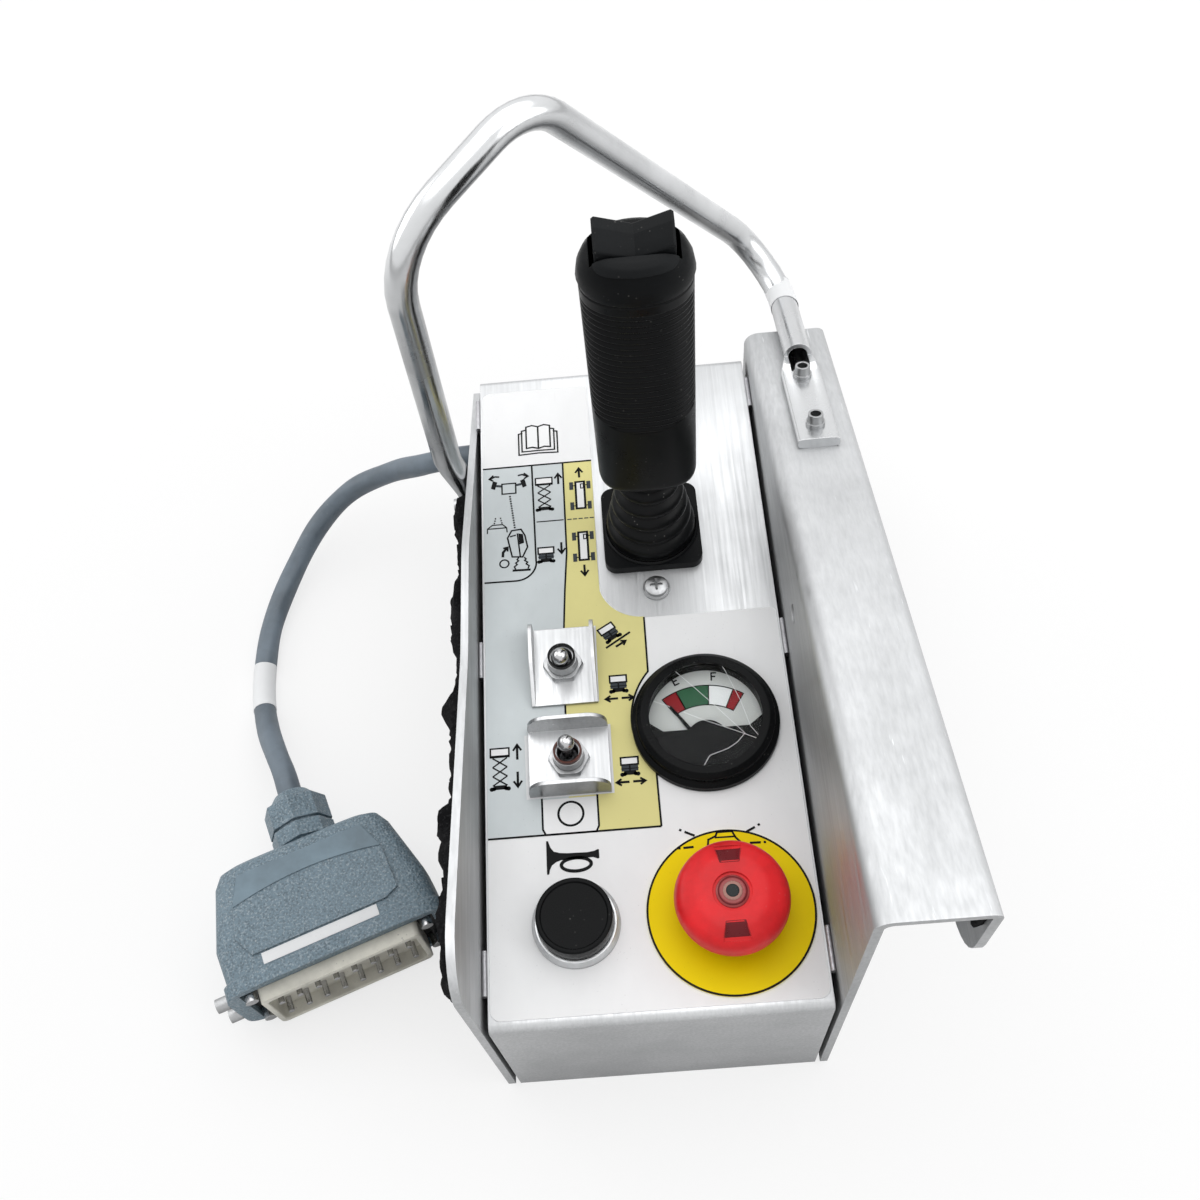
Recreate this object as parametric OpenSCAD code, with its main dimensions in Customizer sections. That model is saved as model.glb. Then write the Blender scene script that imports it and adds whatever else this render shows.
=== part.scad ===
// Scissor lift control box: folded cover between two side plates, rail hook, guard hoop,
// joystick, guarded toggles, gauge, push button, stop button, cable and rectangular plug.
// X right, Y back, Z up. The origin is the centre of the box's underside.

/* [Box] */
// Width of the control panel between its side gaps
panel_w = 120; // [114:1:150]
// Length of the box, front face to back face
panel_l = 291; // [280:1:330]
// Height of the control panel above the table
box_h = 95; // [85:1:120]
// Thickness of the folded cover and the base cover
sheet_t = 2.5; // [1.5:0.5:3]
// Outside radius of the cover's folds
fold_r = 3.5; // [3.5:0.5:6]
// Thickness of both side plates
plate_t = 3; // [2:0.5:4]
// Gap between the panel's edge and each side plate
edge_gap = 2; // [1:0.5:3]
// How far the side plates reach past the back face
plate_overhang = 5.5; // [0:0.5:12]
// Thickness of the printed overlay
overlay_t = 0.3; // [0.2:0.1:0.6]

/* [Left side plate] */
// Height of the left plate's front corner
left_front_h = 159; // [140:1:180]
// Height of the left plate at its middle
left_mid_h = 122; // [110:1:135]
// Height of the left plate's back corner
left_back_h = 81; // [78:1:100]
// Radius of the left plate's front corner
left_corner_r = 18; // [6:1:25]

/* [Rail hook] */
// Height of the hook's top at the front
hook_front_h = 194; // [175:1:220]
// Slope of the hook's top towards the back
hook_slope = 16.8; // [14:0.2:18]
// Clear width between the hook's walls
hook_gap = 30; // [26:1:40]
// Depth of the hook's outer lip
lip_h = 45; // [36:1:55]
// Radius of the lip's lower corners
lip_corner_r = 22; // [5:1:30]
// Outside radius of the inner bend
hook_bend_r = 6; // [5:0.5:8]
// Diameter of the round hole in the hanger plate
hanger_hole_d = 8; // [5:0.5:12]

/* [Guard hoop] */
// Diameter of the tube
hoop_d = 12; // [10:0.5:14]
// Wall of the tube
hoop_wall = 1.8; // [1.2:0.1:2.5]
// Height of the corner above the left leg
hoop_leg_h = 233; // [215:1:250]
// Height of the hoop's highest corner
hoop_peak_h = 258; // [245:1:275]
// Distance from the leg to the highest corner
hoop_peak_reach = 66; // [60:1:75]
// Distance of the leg in front of the box's back face
hoop_leg_back = 56.5; // [50:0.5:65]
// Distance of the rear corner behind the box's back face
hoop_rear_reach = 63.5; // [50:0.5:75]
// Width of the flattened tube ends
crush_w = 17; // [14:0.5:20]
// Thickness of the flattened tube ends
crush_t = 4.5; // [4:0.25:6]

/* [Joystick] */
// Width and depth of the square base
stick_base_w = 40.5; // [38:0.5:44]
// Width of the grip
grip_w = 38; // [34:0.5:40]
// Depth of the grip
grip_d = 29; // [26:0.5:34]
// Height of the grip's lower rim above the panel
grip_bottom_h = 47; // [44:1:55]
// Height of the seam under the cap
cap_seam_h = 150; // [135:1:152]
// Height of the cap's dome above the seam
dome_h = 14; // [10:0.5:16]
// Width of the thumb rocker
rocker_w = 26; // [22:0.5:28]
// Number of ribs on the grip's front
grip_ribs = 20; // [8:1:24]

/* [Switches and buttons] */
// Distance across the flats of the toggle nuts
toggle_nut_af = 14; // [13.5:0.5:16]
// Diameter of the toggles' bushings
bushing_d = 11.8; // [11.4:0.1:12.4]
// Height of the toggle guards' walls
guard_h = 12; // [8:0.5:15]
// Diameter of the push button's bezel
horn_ring_d = 32; // [30:0.5:36]
// Diameter of the stop button's mushroom
stop_head_d = 41; // [36:0.5:44]
// Height of the stop button above the panel
stop_head_h = 24; // [22:0.5:28]
// Diameter of the stop button's round plate
stop_disc_d = 60.4; // [54:0.2:64]
// Diameter of the gauge's bezel
gauge_d = 57; // [54:0.5:60]
// Depth of the gauge's case below the panel
gauge_depth = 36; // [25:1:45]

/* [Cable and plug] */
// Diameter of the cable
cable_d = 10.5; // [8:0.5:11]
// Width of the plug's hood
plug_w = 94; // [84:1:100]
// Thickness of the plug's hood, which lies flat
plug_t = 43; // [38:1:48]
// Length of the plug's hood
plug_l = 54; // [48:1:62]

/* [Hidden] */
$fn = 48;

// Common clearances and overruns
fit = 0.1;
gap = 0.3;
over = 1;
blend_steps = 6;

// Panel places: shares of the panel's width and length from its front left corner
horn_shares = [0.270, 0.122];
stop_shares = [0.733, 0.124];
lower_toggle_shares = [0.273, 0.340];
upper_toggle_shares = [0.268, 0.479];
gauge_shares = [0.717, 0.380];
stick_shares = [0.600, 0.692];

wall_x = panel_w/2 + edge_gap;
plate_front = -panel_l/2;
plate_back = panel_l/2 + plate_overhang;
plate_l = plate_back - plate_front;
hook_w = hook_gap + 2*plate_t;
lip_bend_r = plate_t + 0.2*plate_t;
under = -sheet_t;
back_y = panel_l/2;
hoop_leg_y = back_y - hoop_leg_back;
hoop_rear_y = back_y + hoop_rear_reach;

function on_panel(shares) = [(shares[0] - 1/2)*panel_w, (shares[1] - 1/2)*panel_l];
function hook_z(y) = hook_front_h - tan(hook_slope)*(y - plate_front);
function unit(v) = v/norm(v);
function turn(v) = [-v[1], v[0]];

// Corner b of the path a, b, c as an arc of radius r
function corner_arc(a, b, c, r) =
    let (u = unit(a - b), w = unit(c - b), half = acos(u*w)/2, o = b + unit(u + w)*r/sin(half),
         p = b + u*r/tan(half) - o, side = sign(turn(u)*w), sweep = 180 - 2*half)
    [for (i = [0:blend_steps]) let (t = -side*sweep*i/blend_steps)
        o + [p[0]*cos(t) - p[1]*sin(t), p[0]*sin(t) + p[1]*cos(t)]];
function rounded(pts, radii) = let (n = len(pts))
    [for (i = [0:n - 1]) each radii[i] > 0
        ? corner_arc(pts[(i + n - 1)%n], pts[i], pts[(i + 1)%n], radii[i]) : [pts[i]]];

// Oval ring of half sizes a and b: power 2 is an ellipse, more is squarer
function oval(a, b, power, n = 40) = [for (i = [0:n - 1]) let (c = cos(360*i/n), s = sin(360*i/n))
    [a*sign(c)*pow(abs(c), 2/power), b*sign(s)*pow(abs(s), 2/power)]];
function lifted(ring, z) = [for (p = ring) [p[0], p[1], z]];

// Closed skin through rings of equal point counts
module loft(rings) {
    n = len(rings[0]);
    last = len(rings) - 1;
    polyhedron(points = [for (ring = rings) each ring],
        faces = [[for (j = [0:n - 1]) j],
            for (i = [0:last - 1]) for (j = [0:n - 1])
                let (a = i*n + j, b = i*n + (j + 1)%n) each [[a, a + n, b], [b, a + n, b + n]],
            [for (j = [n - 1:-1:0]) last*n + j]]);
}

// Plane shapes
module rounded_square(size, r) {
    square([size[0] - 2*r, size[1]], center = true);
    square([size[0], size[1] - 2*r], center = true);
    for (x = [-1, 1], y = [-1, 1]) translate([x*(size[0]/2 - r), y*(size[1]/2 - r)]) circle(r);
}
module slab(size, r, h) { linear_extrude(h) rounded_square(size, r); }
module hexagon(af, h) { linear_extrude(h) circle(af/2/cos(30), $fn = 6); }
module tube(r, bore_r, h) {
    difference() {
        cylinder(h = h, r = r);
        translate([0, 0, -over]) cylinder(h = h + 2*over, r = bore_r);
    }
}

// Extrusions along X and along Y, with the profile's second axis up
module along_x(l) { rotate([90, 0, 90]) linear_extrude(l) children(); }
module along_y(l) { translate([0, l, 0]) rotate([90, 0, 0]) linear_extrude(l) children(); }
module at_panel(shares, h = 0) { translate([each on_panel(shares), box_h + h]) children(); }

// Straight and bent tube between points in space
module frame_at(o, x, z) {
    y = cross(z, x);
    multmatrix([[x[0], y[0], z[0], o[0]], [x[1], y[1], z[1], o[1]], [x[2], y[2], z[2], o[2]],
        [0, 0, 0, 1]]) children();
}
function some_side(d) = unit(cross(d, abs(d[2]) < 0.9 ? [0, 0, 1] : [1, 0, 0]));
module rod(a, b, r) {
    d = unit(b - a);
    frame_at(a, some_side(d), d) cylinder(h = norm(b - a), r = r);
}

// Base cover, folded cover and side plates
flange_w = 14;
base_screw_r = 2;
base_screw_l = 8;
base_head_r = 4;
base_screw_x = 45;
base_screw_y = panel_l/2 - sheet_t - flange_w/2;
panel_hole_r = 11.15;
gauge_case_r = gauge_d/2 - 2.7;
stick_hole_w = stick_base_w - 8;

module base_screw_places() {
    for (x = [-1, 1], y = [-1, 1]) translate([x*base_screw_x, y*base_screw_y]) children();
}
module cover_profile() {
    difference() {
        rounded_square([panel_l, 2*box_h], fold_r);
        rounded_square([panel_l - 2*sheet_t, 2*box_h - 2*sheet_t], fold_r - sheet_t);
        translate([-panel_l, -2*box_h]) square([2*panel_l, 2*box_h]);
    }
    for (side = [-1, 1]) translate([side*(panel_l - 3*sheet_t/2 - flange_w)/2, 3*sheet_t/2])
        square([flange_w + sheet_t/2, sheet_t], center = true);
}
module panel_cut(shares, r) { at_panel(shares, -2*sheet_t) cylinder(h = 4*sheet_t, r = r); }
module control_panel() {
    color("#c9cccd") difference() {
        translate([-panel_w/2, 0]) along_x(panel_w) cover_profile();
        for (shares = [horn_shares, stop_shares]) panel_cut(shares, panel_hole_r);
        for (shares = [lower_toggle_shares, upper_toggle_shares])
            panel_cut(shares, bushing_d/2 + fit);
        panel_cut(gauge_shares, gauge_case_r + fit);
        at_panel(stick_shares, -2*sheet_t) slab([stick_hole_w, stick_hole_w], sheet_t, 4*sheet_t);
        stick_screw_places() translate([0, 0, -2*sheet_t]) cylinder(h = 4*sheet_t, r = screw_r + fit);
        base_screw_places() cylinder(h = 3*sheet_t, r = base_screw_r + fit);
    }
}
module base_cover() {
    color("#c3c6c8") difference() {
        translate([-panel_w/2, -panel_l/2 + sheet_t + gap])
            cube([panel_w, panel_l - 2*sheet_t - 2*gap, sheet_t]);
        base_screw_places() {
            translate([0, 0, -over]) cylinder(h = sheet_t + 2*over, r = base_screw_r + fit);
            cylinder(h = base_head_r - base_screw_r, r1 = base_head_r + fit, r2 = base_screw_r + fit);
        }
    }
}
module base_screws() {
    color("#8d9092") base_screw_places() {
        cylinder(h = base_head_r - base_screw_r, r1 = base_head_r, r2 = base_screw_r);
        cylinder(h = base_screw_l, r = base_screw_r);
    }
}

cable_exit_back = 23.5;
cable_exit_y = back_y - cable_exit_back;
cable_exit_z = 70;
grommet_r = cable_d/2 + 2.2;
foot_rivet_z = [62, 78];
left_shares = [0.45, 0.62];
left_rise_r = 60;
module left_side_plate() {
    outline = [[plate_front, 0], [plate_front, left_front_h],
        [plate_front + left_shares[0]*plate_l, left_mid_h],
        [plate_front + left_shares[1]*plate_l, left_mid_h - plate_t], [plate_back, left_back_h],
        [plate_back, 0]];
    color("#b9bcbe") difference() {
        translate([-wall_x - plate_t, 0]) along_x(plate_t)
            polygon(rounded(outline, [0, left_corner_r, left_rise_r, left_rise_r, plate_t, 0]));
        translate([-wall_x - plate_t - over, cable_exit_y, cable_exit_z]) rotate([0, 90, 0])
            cylinder(h = plate_t + 2*over, r = grommet_r + fit);
        foot_rivet_places() translate([0, 0, -plate_t - over])
            cylinder(h = plate_t + 2*over, r = rivet_r + fit);
    }
}

module at_hook() {
    translate([wall_x, plate_front, hook_front_h]) rotate([-hook_slope, 0, 0]) children();
}
function hook_bend(w, r, lip_r, reach) =
    rounded([[0, -reach], [0, 0], [w, 0], [w, -reach]], [0, r, lip_r, 0]);
module hook_profile() {
    reach = hook_front_h + plate_l;
    difference() {
        polygon(hook_bend(hook_w, hook_bend_r, lip_bend_r, reach));
        translate([plate_t, -plate_t]) polygon(hook_bend(hook_w - 2*plate_t,
            hook_bend_r - plate_t, lip_bend_r - plate_t, reach));
    }
}
// Side outline of the plate, or of the lip, between the front and back edges
function below_hook(drop) = [for (y = [plate_back, plate_front]) [y, hook_z(y) - drop]];
hanger_hole_y = -6;
hanger_hole_drop = 28.9;
module right_hanger_plate() {
    top = below_hook(-hook_bend_r);
    lip = concat([top[1], top[0]], below_hook(lip_h/cos(hook_slope)));
    color("#c4c7c9") difference() {
        intersection() {
            at_hook() translate([0, -plate_l/2]) along_y(2*plate_l) hook_profile();
            union() {
                translate([wall_x - over, 0]) along_x(hook_w/2 + over)
                    polygon(concat([[plate_front, 0], [plate_back, 0]], top));
                translate([wall_x + hook_w/2, 0]) along_x(hook_w/2 + over)
                    polygon(rounded(lip, [0, 0, lip_corner_r, lip_corner_r]));
            }
        }
        translate([wall_x - over, hanger_hole_y, hook_z(hanger_hole_y) - hanger_hole_drop])
            rotate([0, 90, 0]) cylinder(h = plate_t + 2*over, d = hanger_hole_d);
        hook_rivet_places() translate([0, 0, -plate_t - over])
            cylinder(h = plate_t + 2*over, r = rivet_r + fit);
    }
}

// Welds across the side gaps
bead_l = 16;
bead_shares = [0.07, 0.5, 0.93];
module weld_beads() {
    color("#9a9d9f") for (side = [-1, 1], share = bead_shares)
        translate([side*(panel_w + edge_gap)/2, (share - 1/2)*panel_l, box_h]) {
            translate([-edge_gap/2, -bead_l/2, -sheet_t]) cube([edge_gap, bead_l, sheet_t]);
            translate([0, -bead_l/2, 0]) along_y(bead_l) intersection() {
                circle(edge_gap/2);
                translate([-edge_gap, 0]) square(2*edge_gap);
            }
        }
}

// Printed overlay with a bay left open round the joystick
overlay_edge = 0.8;
overlay_back_edge = 8.5;
overlay_corner_r = 4;
bay_r = 18;
bay_shares = [0.405, 0.547];
module panel_overlay() {
    bay = on_panel(bay_shares);
    right = panel_w/2 - overlay_edge;
    front = plate_front + fold_r;
    back = back_y - overlay_back_edge;
    outline = [[-right, front], [right, front], [right, bay[1]], bay, [bay[0], back], [-right, back]];
    color("#e6e8e8") translate([0, 0, box_h]) difference() {
        linear_extrude(overlay_t)
            polygon(rounded(outline, [1, 1, 1/2, bay_r/overlay_corner_r, 1/2, 1]*overlay_corner_r));
        for (shares = [horn_shares, stop_shares]) overlay_cut(shares, panel_hole_r);
        for (shares = [lower_toggle_shares, upper_toggle_shares])
            overlay_cut(shares, bushing_d/2 + fit);
        overlay_cut(gauge_shares, gauge_d/2 + gap);
    }
}
module overlay_cut(shares, r) {
    translate([each on_panel(shares), -over]) cylinder(h = 2*over + overlay_t, r = r);
}

// Foam on the left plate and foam in the hook
side_pad_t = 4;
side_pad_inset = 9;
module side_foam_pad() {
    back = hoop_leg_y - crush_w/2 - plate_t;
    front = plate_front + side_pad_inset;
    color("#1b1c1d") translate([-wall_x - plate_t - side_pad_t, 0]) along_x(side_pad_t)
        polygon(rounded([[front, side_pad_inset], [front, left_front_h - 1.6*side_pad_inset],
            [plate_front + left_shares[0]*plate_l, left_mid_h - side_pad_inset],
            [back, left_mid_h - 2.2*side_pad_inset], [back, side_pad_inset]],
            [side_pad_inset, left_corner_r, left_rise_r, plate_t, plate_t]));
}
pad_t = 3.5;
pad_drop = 13;
pad_inset = 1.5;
module rail_pad() {
    inner = hook_w - plate_t;
    color("#141414") difference() {
        intersection() {
            at_hook() translate([0, -plate_l/2]) along_y(2*plate_l) polygon(rounded([
                [hook_bend_r, -plate_t], [inner, -plate_t], [inner, -plate_t - pad_drop],
                [inner - pad_t, -plate_t - pad_drop], [inner - pad_t, -plate_t - pad_t],
                [hook_bend_r, -plate_t - pad_t]], [0, pad_t/2, 0, 0, pad_t/2, 0]));
            translate([wall_x, plate_front + pad_inset])
                cube([hook_w, plate_l - 2*pad_inset, 2*hook_front_h]);
        }
        hook_rivet_places() translate([0, 0, -3*pad_t - over])
            cylinder(h = 3*pad_t + over - plate_t/2, r = rivet_foot_r + gap);
    }
}

// Guard hoop: leg on the left plate, high corner, rear corner, flattened end on the hook
hoop_r = hoop_d/2;
hoop_end_share = 0.54;
hoop_bend_shares = [3.2, 2.1, 1.9];
foot_gap = hoop_d/12;
leg_x = -wall_x - plate_t - hoop_r - foot_gap;
rear_x = wall_x + hoop_end_share*hook_w;
rear_lift = hoop_r/cos(hook_slope);
leg_flat_z = 90;
crush_l = 24;
hook_crush_l = 9;
// Way along the crush as a share of its length, and how flat the tube is there
crush_stations = [[0, 0], [0.25, 0.2], [0.5, 0.55], [0.75, 0.85], [1, 1]];
leg_tongue_l = 42;
mouth_lip = 0.24;
hoop_mouth_back = 22.5;
mouth_y = back_y - hoop_mouth_back;
hook_tongue_l = 56;
hoop_rear = [rear_x, hoop_rear_y, hook_z(hoop_rear_y) + rear_lift];
hoop_way = unit([hoop_rear[0] - leg_x, hoop_rear[1] - hoop_leg_y]);
hoop_peak = [each [leg_x, hoop_leg_y] + hoop_way*hoop_peak_reach, hoop_peak_h];
hoop_top_left = [leg_x, hoop_leg_y, hoop_leg_h];
hoop_foot = [leg_x, hoop_leg_y, leg_flat_z + crush_l];
hoop_mouth = [rear_x, mouth_y, hook_z(mouth_y) + rear_lift];
rivet_r = 2.4;
rivet_foot_r = 3.9;
rivet_head_r = 3;
rivet_head_h = 5;
rivet_foot_h = 1.4;
hook_rivet_inset = [48, 14];

module hook_rivet_places() {
    for (inset = hook_rivet_inset) let (y = mouth_y - inset)
        translate([rear_x, y, hook_z(y)]) rotate([-hook_slope, 0, 0]) children();
}
module foot_rivet_places() {
    for (z = foot_rivet_z)
        translate([-wall_x - plate_t, hoop_leg_y, z]) rotate([0, -90, 0]) children();
}
// Points of a path's bend, from its start to its end
function bend_arc(a, b, c, r, n) =
    let (u = unit(a - b), w = unit(c - b), half = acos(u*w)/2, o = b + unit(u + w)*r/sin(half),
         x = unit(b + u*r/tan(half) - o), sweep = 180 - 2*half)
    [for (i = [0:n]) o + r*(x*cos(sweep*i/n) - u*sin(sweep*i/n))];
hoop_bends = hoop_bend_shares*hoop_d;
leg_points = [for (s = crush_stations) hoop_foot - [0, 0, s[0]*crush_l]];
hook_way = [0, -cos(hook_slope), sin(hook_slope)];
mouth_points = [for (s = crush_stations) hoop_mouth + hook_way*s[0]*hook_crush_l];
hoop_line = concat(
    [hoop_foot - [0, 0, crush_l + leg_tongue_l]], [for (i = [len(leg_points) - 1:-1:0]) leg_points[i]],
    bend_arc(hoop_foot, hoop_top_left, hoop_peak, hoop_bends[0], 8),
    bend_arc(hoop_top_left, hoop_peak, hoop_rear, hoop_bends[1], 8),
    bend_arc(hoop_peak, hoop_rear, hoop_mouth, hoop_bends[2], 8), mouth_points,
    [hoop_mouth + hook_way*hook_tongue_l/cos(hook_slope)]);
crush_n = len(crush_stations);
hoop_n = len(hoop_line);
// How flat the tube is at a station, from 0 for round to 1 for flat
function flatness(i) = i == 0 || i == hoop_n - 1 ? 1
    : i <= crush_n ? crush_stations[crush_n - i][1]
    : i >= hoop_n - 1 - crush_n ? crush_stations[i - (hoop_n - 1 - crush_n)][1] : 0;
function hoop_way_at(i) = i <= crush_n ? [0, 0, 1] : i >= hoop_n - 1 - crush_n ? hook_way
    : unit(unit(hoop_line[i + 1] - hoop_line[i]) + unit(hoop_line[i] - hoop_line[i - 1]));
// Section of the tube: its flat side faces the plate or the hook that carries it
hook_down = [0, -sin(hook_slope), -cos(hook_slope)];
hoop_carried = [for (i = 0, v = [1, 0, 0]; i < hoop_n; i = i + 1,
    v = i < hoop_n ? unit(v - hoop_way_at(i)*(v*hoop_way_at(i))) : v) v];
hoop_last = hoop_carried[hoop_n - 1];
hoop_twist = atan2(cross(hoop_last, hook_down)*hook_way, hoop_last*hook_down);
function hoop_near(i) =
    let (v = hoop_carried[i], t = (i - crush_n)/(hoop_n - 2*crush_n - 1), a = hoop_twist*max(0, min(1, t)))
    v*cos(a) + cross(hoop_way_at(i), v)*sin(a);
function hoop_ring(i) =
    let (m = flatness(i), near = hoop_near(i), side = cross(hoop_way_at(i), near),
         reach = hoop_r + (i < hoop_n/2 ? foot_gap*m : 0),
         thick = (1 - m)*hoop_r + m*crush_t/2, wide = (1 - m)*hoop_r + m*crush_w/2)
    [for (p = oval(thick, wide, 2 + 3*m, 24))
        hoop_line[i] + near*(p[0] + (reach - thick)*sign(m)) + side*p[1]];
module guard_hoop() {
    color("#c6c8ca") difference() {
        loft([for (i = [0:hoop_n - 1]) hoop_ring(i)]);
        // Open torn mouth where the round tube meets its flattened end
        rod(hoop_mouth + hook_way*hook_crush_l, hoop_mouth - hook_way*3*hoop_d, hoop_r - hoop_wall);
        translate(hoop_mouth) rotate([-hook_slope, 0, 0]) translate([-hoop_d, -2*hook_crush_l, mouth_lip])
            cube([2*hoop_d, 2*hook_crush_l, hoop_d]);
        hook_rivet_places() cylinder(h = hoop_d, r = rivet_r + fit);
        foot_rivet_places() cylinder(h = hoop_d, r = rivet_r + fit);
    }
}
// Hollow rivet: head above the flattened tube, foot under the plate
module rivet() {
    difference() {
        union() {
            translate([0, 0, -plate_t - rivet_foot_h]) cylinder(h = rivet_foot_h, r = rivet_foot_r);
            translate([0, 0, -plate_t - fit]) cylinder(h = plate_t + crush_t + 2*fit, r = rivet_r);
            translate([0, 0, crush_t]) cylinder(h = rivet_foot_h, r = rivet_foot_r);
            translate([0, 0, crush_t]) cylinder(h = rivet_head_h, r1 = rivet_head_r*1.15, r2 = rivet_head_r);
        }
        translate([0, 0, crush_t]) cylinder(h = rivet_head_h + over, r = rivet_r*0.9);
    }
}
module hoop_rivets() {
    color("#a7a9aa") {
        hook_rivet_places() rivet();
        foot_rivet_places() rivet();
    }
}

// Joystick, from the body under the panel to the thumb rocker
screw_r = 2.5;
screw_head_r = 4.6;
screw_head_h = 3;
washer_h = 1;
stick_screw_y = 29;
stick_base_h = 4;
pivot_h = -9;
pivot_r = 3;
stick_r = 5;
stick_body_w = 44;
stick_body_h = 42;
stick_well_w = 26;
stick_well_l = 34;
stick_well_h = 26;
gaiter_wall = 1.2;
gaiter_rings = 5;
gaiter_top_r = 13;
gaiter_h = grip_bottom_h - gap - stick_base_h;
gaiter_neck = 4;
socket_l = 18;
cap_power = 2.1;

module at_stick(h = 0) { at_panel(stick_shares, h) children(); }
module stick_screw_places() {
    at_stick() for (side = [-1, 1]) translate([0, side*stick_screw_y]) children();
}
module joystick_base() {
    color("#141516") at_stick() difference() {
        slab([stick_base_w, stick_base_w], stick_base_w/8, stick_base_h);
        translate([0, 0, -over]) cylinder(h = stick_base_h + 2*over, r = stick_well_w/2);
    }
}
function gaiter_r(t, inset) = (stick_base_w/2 - gap)*(1 - t) + gaiter_top_r*t - inset
    - stick_base_w/14*pow(sin(180*gaiter_rings*t), 2);
gaiter_steps = 8*gaiter_rings;
module joystick_gaiter() {
    // Ring crests fall where the wave is zero, so the top crest carries the neck
    outer = [for (i = [0:gaiter_steps]) let (t = i/gaiter_steps)
        [gaiter_r(t, 0), t*(gaiter_h - gaiter_neck)]];
    inner = [for (i = [gaiter_steps:-1:0]) let (t = i/gaiter_steps)
        [gaiter_r(t, gaiter_wall), t*(gaiter_h - gaiter_neck)]];
    color("#101112") at_stick(stick_base_h) rotate_extrude() {
        polygon(concat(outer, inner));
        translate([stick_r + gap, gaiter_h - gaiter_neck - gaiter_wall])
            square([gaiter_top_r - stick_r - gap, gaiter_wall]);
        translate([stick_r + gap, gaiter_h - gaiter_neck - gaiter_wall])
            square([gaiter_wall*2, gaiter_neck + gaiter_wall]);
    }
}
module joystick_body() {
    color("#232526") at_stick(under - stick_body_h) difference() {
        union() {
            slab([stick_body_w, stick_body_w], screw_r, stick_body_h);
            translate([0, 0, stick_body_h - sheet_t])
                slab([stick_body_w, 2*stick_screw_y + 6*screw_r], screw_r, sheet_t);
        }
        translate([0, 0, stick_body_h - stick_well_h])
            slab([stick_well_w, stick_well_l], screw_r, stick_well_h + over);
        translate([-stick_body_w, 0, stick_body_h + pivot_h - under]) rotate([0, 90, 0])
            cylinder(h = 2*stick_body_w, r = pivot_r + fit/2);
        for (side = [-1, 1]) translate([0, side*stick_screw_y])
            cylinder(h = 2*stick_body_h, r = screw_r + fit);
    }
}
module joystick_screws() {
    color("#b4b7b9") stick_screw_places() difference() {
        union() {
            cylinder(h = washer_h, r = screw_head_r + washer_h);
            translate([0, 0, washer_h]) intersection() {
                cylinder(h = screw_head_h, r = screw_head_r);
                translate([0, 0, screw_head_h - 2*screw_head_r]) sphere(2*screw_head_r);
            }
            translate([0, 0, -2*sheet_t - 3*screw_r])
                cylinder(h = 2*sheet_t + 3*screw_r + fit, r = screw_r);
            translate([0, 0, -2*sheet_t - 2*screw_r]) hexagon(4*screw_r, 2*screw_r);
        }
        for (turn_by = [0, 90]) rotate(turn_by)
            translate([-screw_r, -screw_r/5, washer_h + screw_head_h/2])
                cube([2*screw_r, screw_r*0.4, screw_head_h]);
    }
}
module joystick_shaft() {
    color("#8c8f91") at_stick() {
        translate([0, 0, pivot_h - 2*pivot_r])
            cylinder(h = grip_bottom_h + socket_l - pivot_h + 2*pivot_r, r = stick_r);
        translate([-stick_body_w/2 + over, 0, pivot_h]) rotate([0, 90, 0])
            cylinder(h = stick_body_w - 2*over, r = pivot_r);
    }
}

// Grip: squarer at the foot, rounder under the cap, ribbed on its front
function grip_ring(z, grow, power) = lifted(oval(grip_w/2 + grow, grip_d/2 + grow, power), z);
rib_from_shares = [0.42, 0.95];
rib_depth = 0.6;
module joystick_grip() {
    h = cap_seam_h - grip_bottom_h;
    pitch = h*(rib_from_shares[1] - rib_from_shares[0])/grip_ribs;
    foot = rib_depth*2;
    color("#17191a") at_stick(grip_bottom_h) difference() {
        union() {
            loft([grip_ring(0, -foot, 3), grip_ring(foot, -rib_depth, 3),
                for (i = [0:4]) grip_ring(h*(0.06 + 0.22*i), -rib_depth, 3 - 0.2*i),
                grip_ring(h - foot, 0, cap_power), grip_ring(h - fit, -rib_depth, cap_power)]);
            intersection() {
                for (i = [0:grip_ribs - 1]) translate([0, 0, h*rib_from_shares[0] + i*pitch])
                    linear_extrude(pitch*0.55) polygon(oval(grip_w/2 + fit, grip_d/2 + fit, 2.5));
                translate([-grip_w*0.4, -grip_d]) cube([grip_w*0.8, grip_d, h]);
            }
        }
        translate([0, 0, -over]) cylinder(h = socket_l + over, r = stick_r + fit/2);
    }
}
rocker_d = rocker_w*0.46;
rocker_h = dome_h + 8;
rocker_floor_h = 3.2;
rocker_pivot_h = dome_h*0.45;
rocker_play = 1.6;
rocker_dip = 4.5;
rocker_pin_r = 1.5;
module rocker_well(grow) {
    translate([-rocker_w/2 - rocker_play, -rocker_d/2 - grow, -grow])
        cube([rocker_w + 2*rocker_play, rocker_d + 2*grow, rocker_h*2]);
}
module grip_cap() {
    rise_shares = [0, 0.18, 0.5, 0.78, 0.94, 1];
    fall_shares = [0, -0.03, 0.01, 0.1, 0.2, 0.33];
    color("#1c1f20") at_stick(cap_seam_h) difference() {
        loft([for (i = [0:5]) lifted(oval(grip_w/2*(1 - fall_shares[i]), grip_d/2*(1 - fall_shares[i]),
            cap_power), dome_h*rise_shares[i])]);
        rocker_well(2*gap);
        translate([0, -rocker_d/2 - 2*rocker_pin_r - gap, rocker_pivot_h]) rotate([-90, 0, 0])
            cylinder(h = rocker_d + 4*rocker_pin_r + 2*gap, r = rocker_pin_r + fit/2);
    }
}
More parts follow.
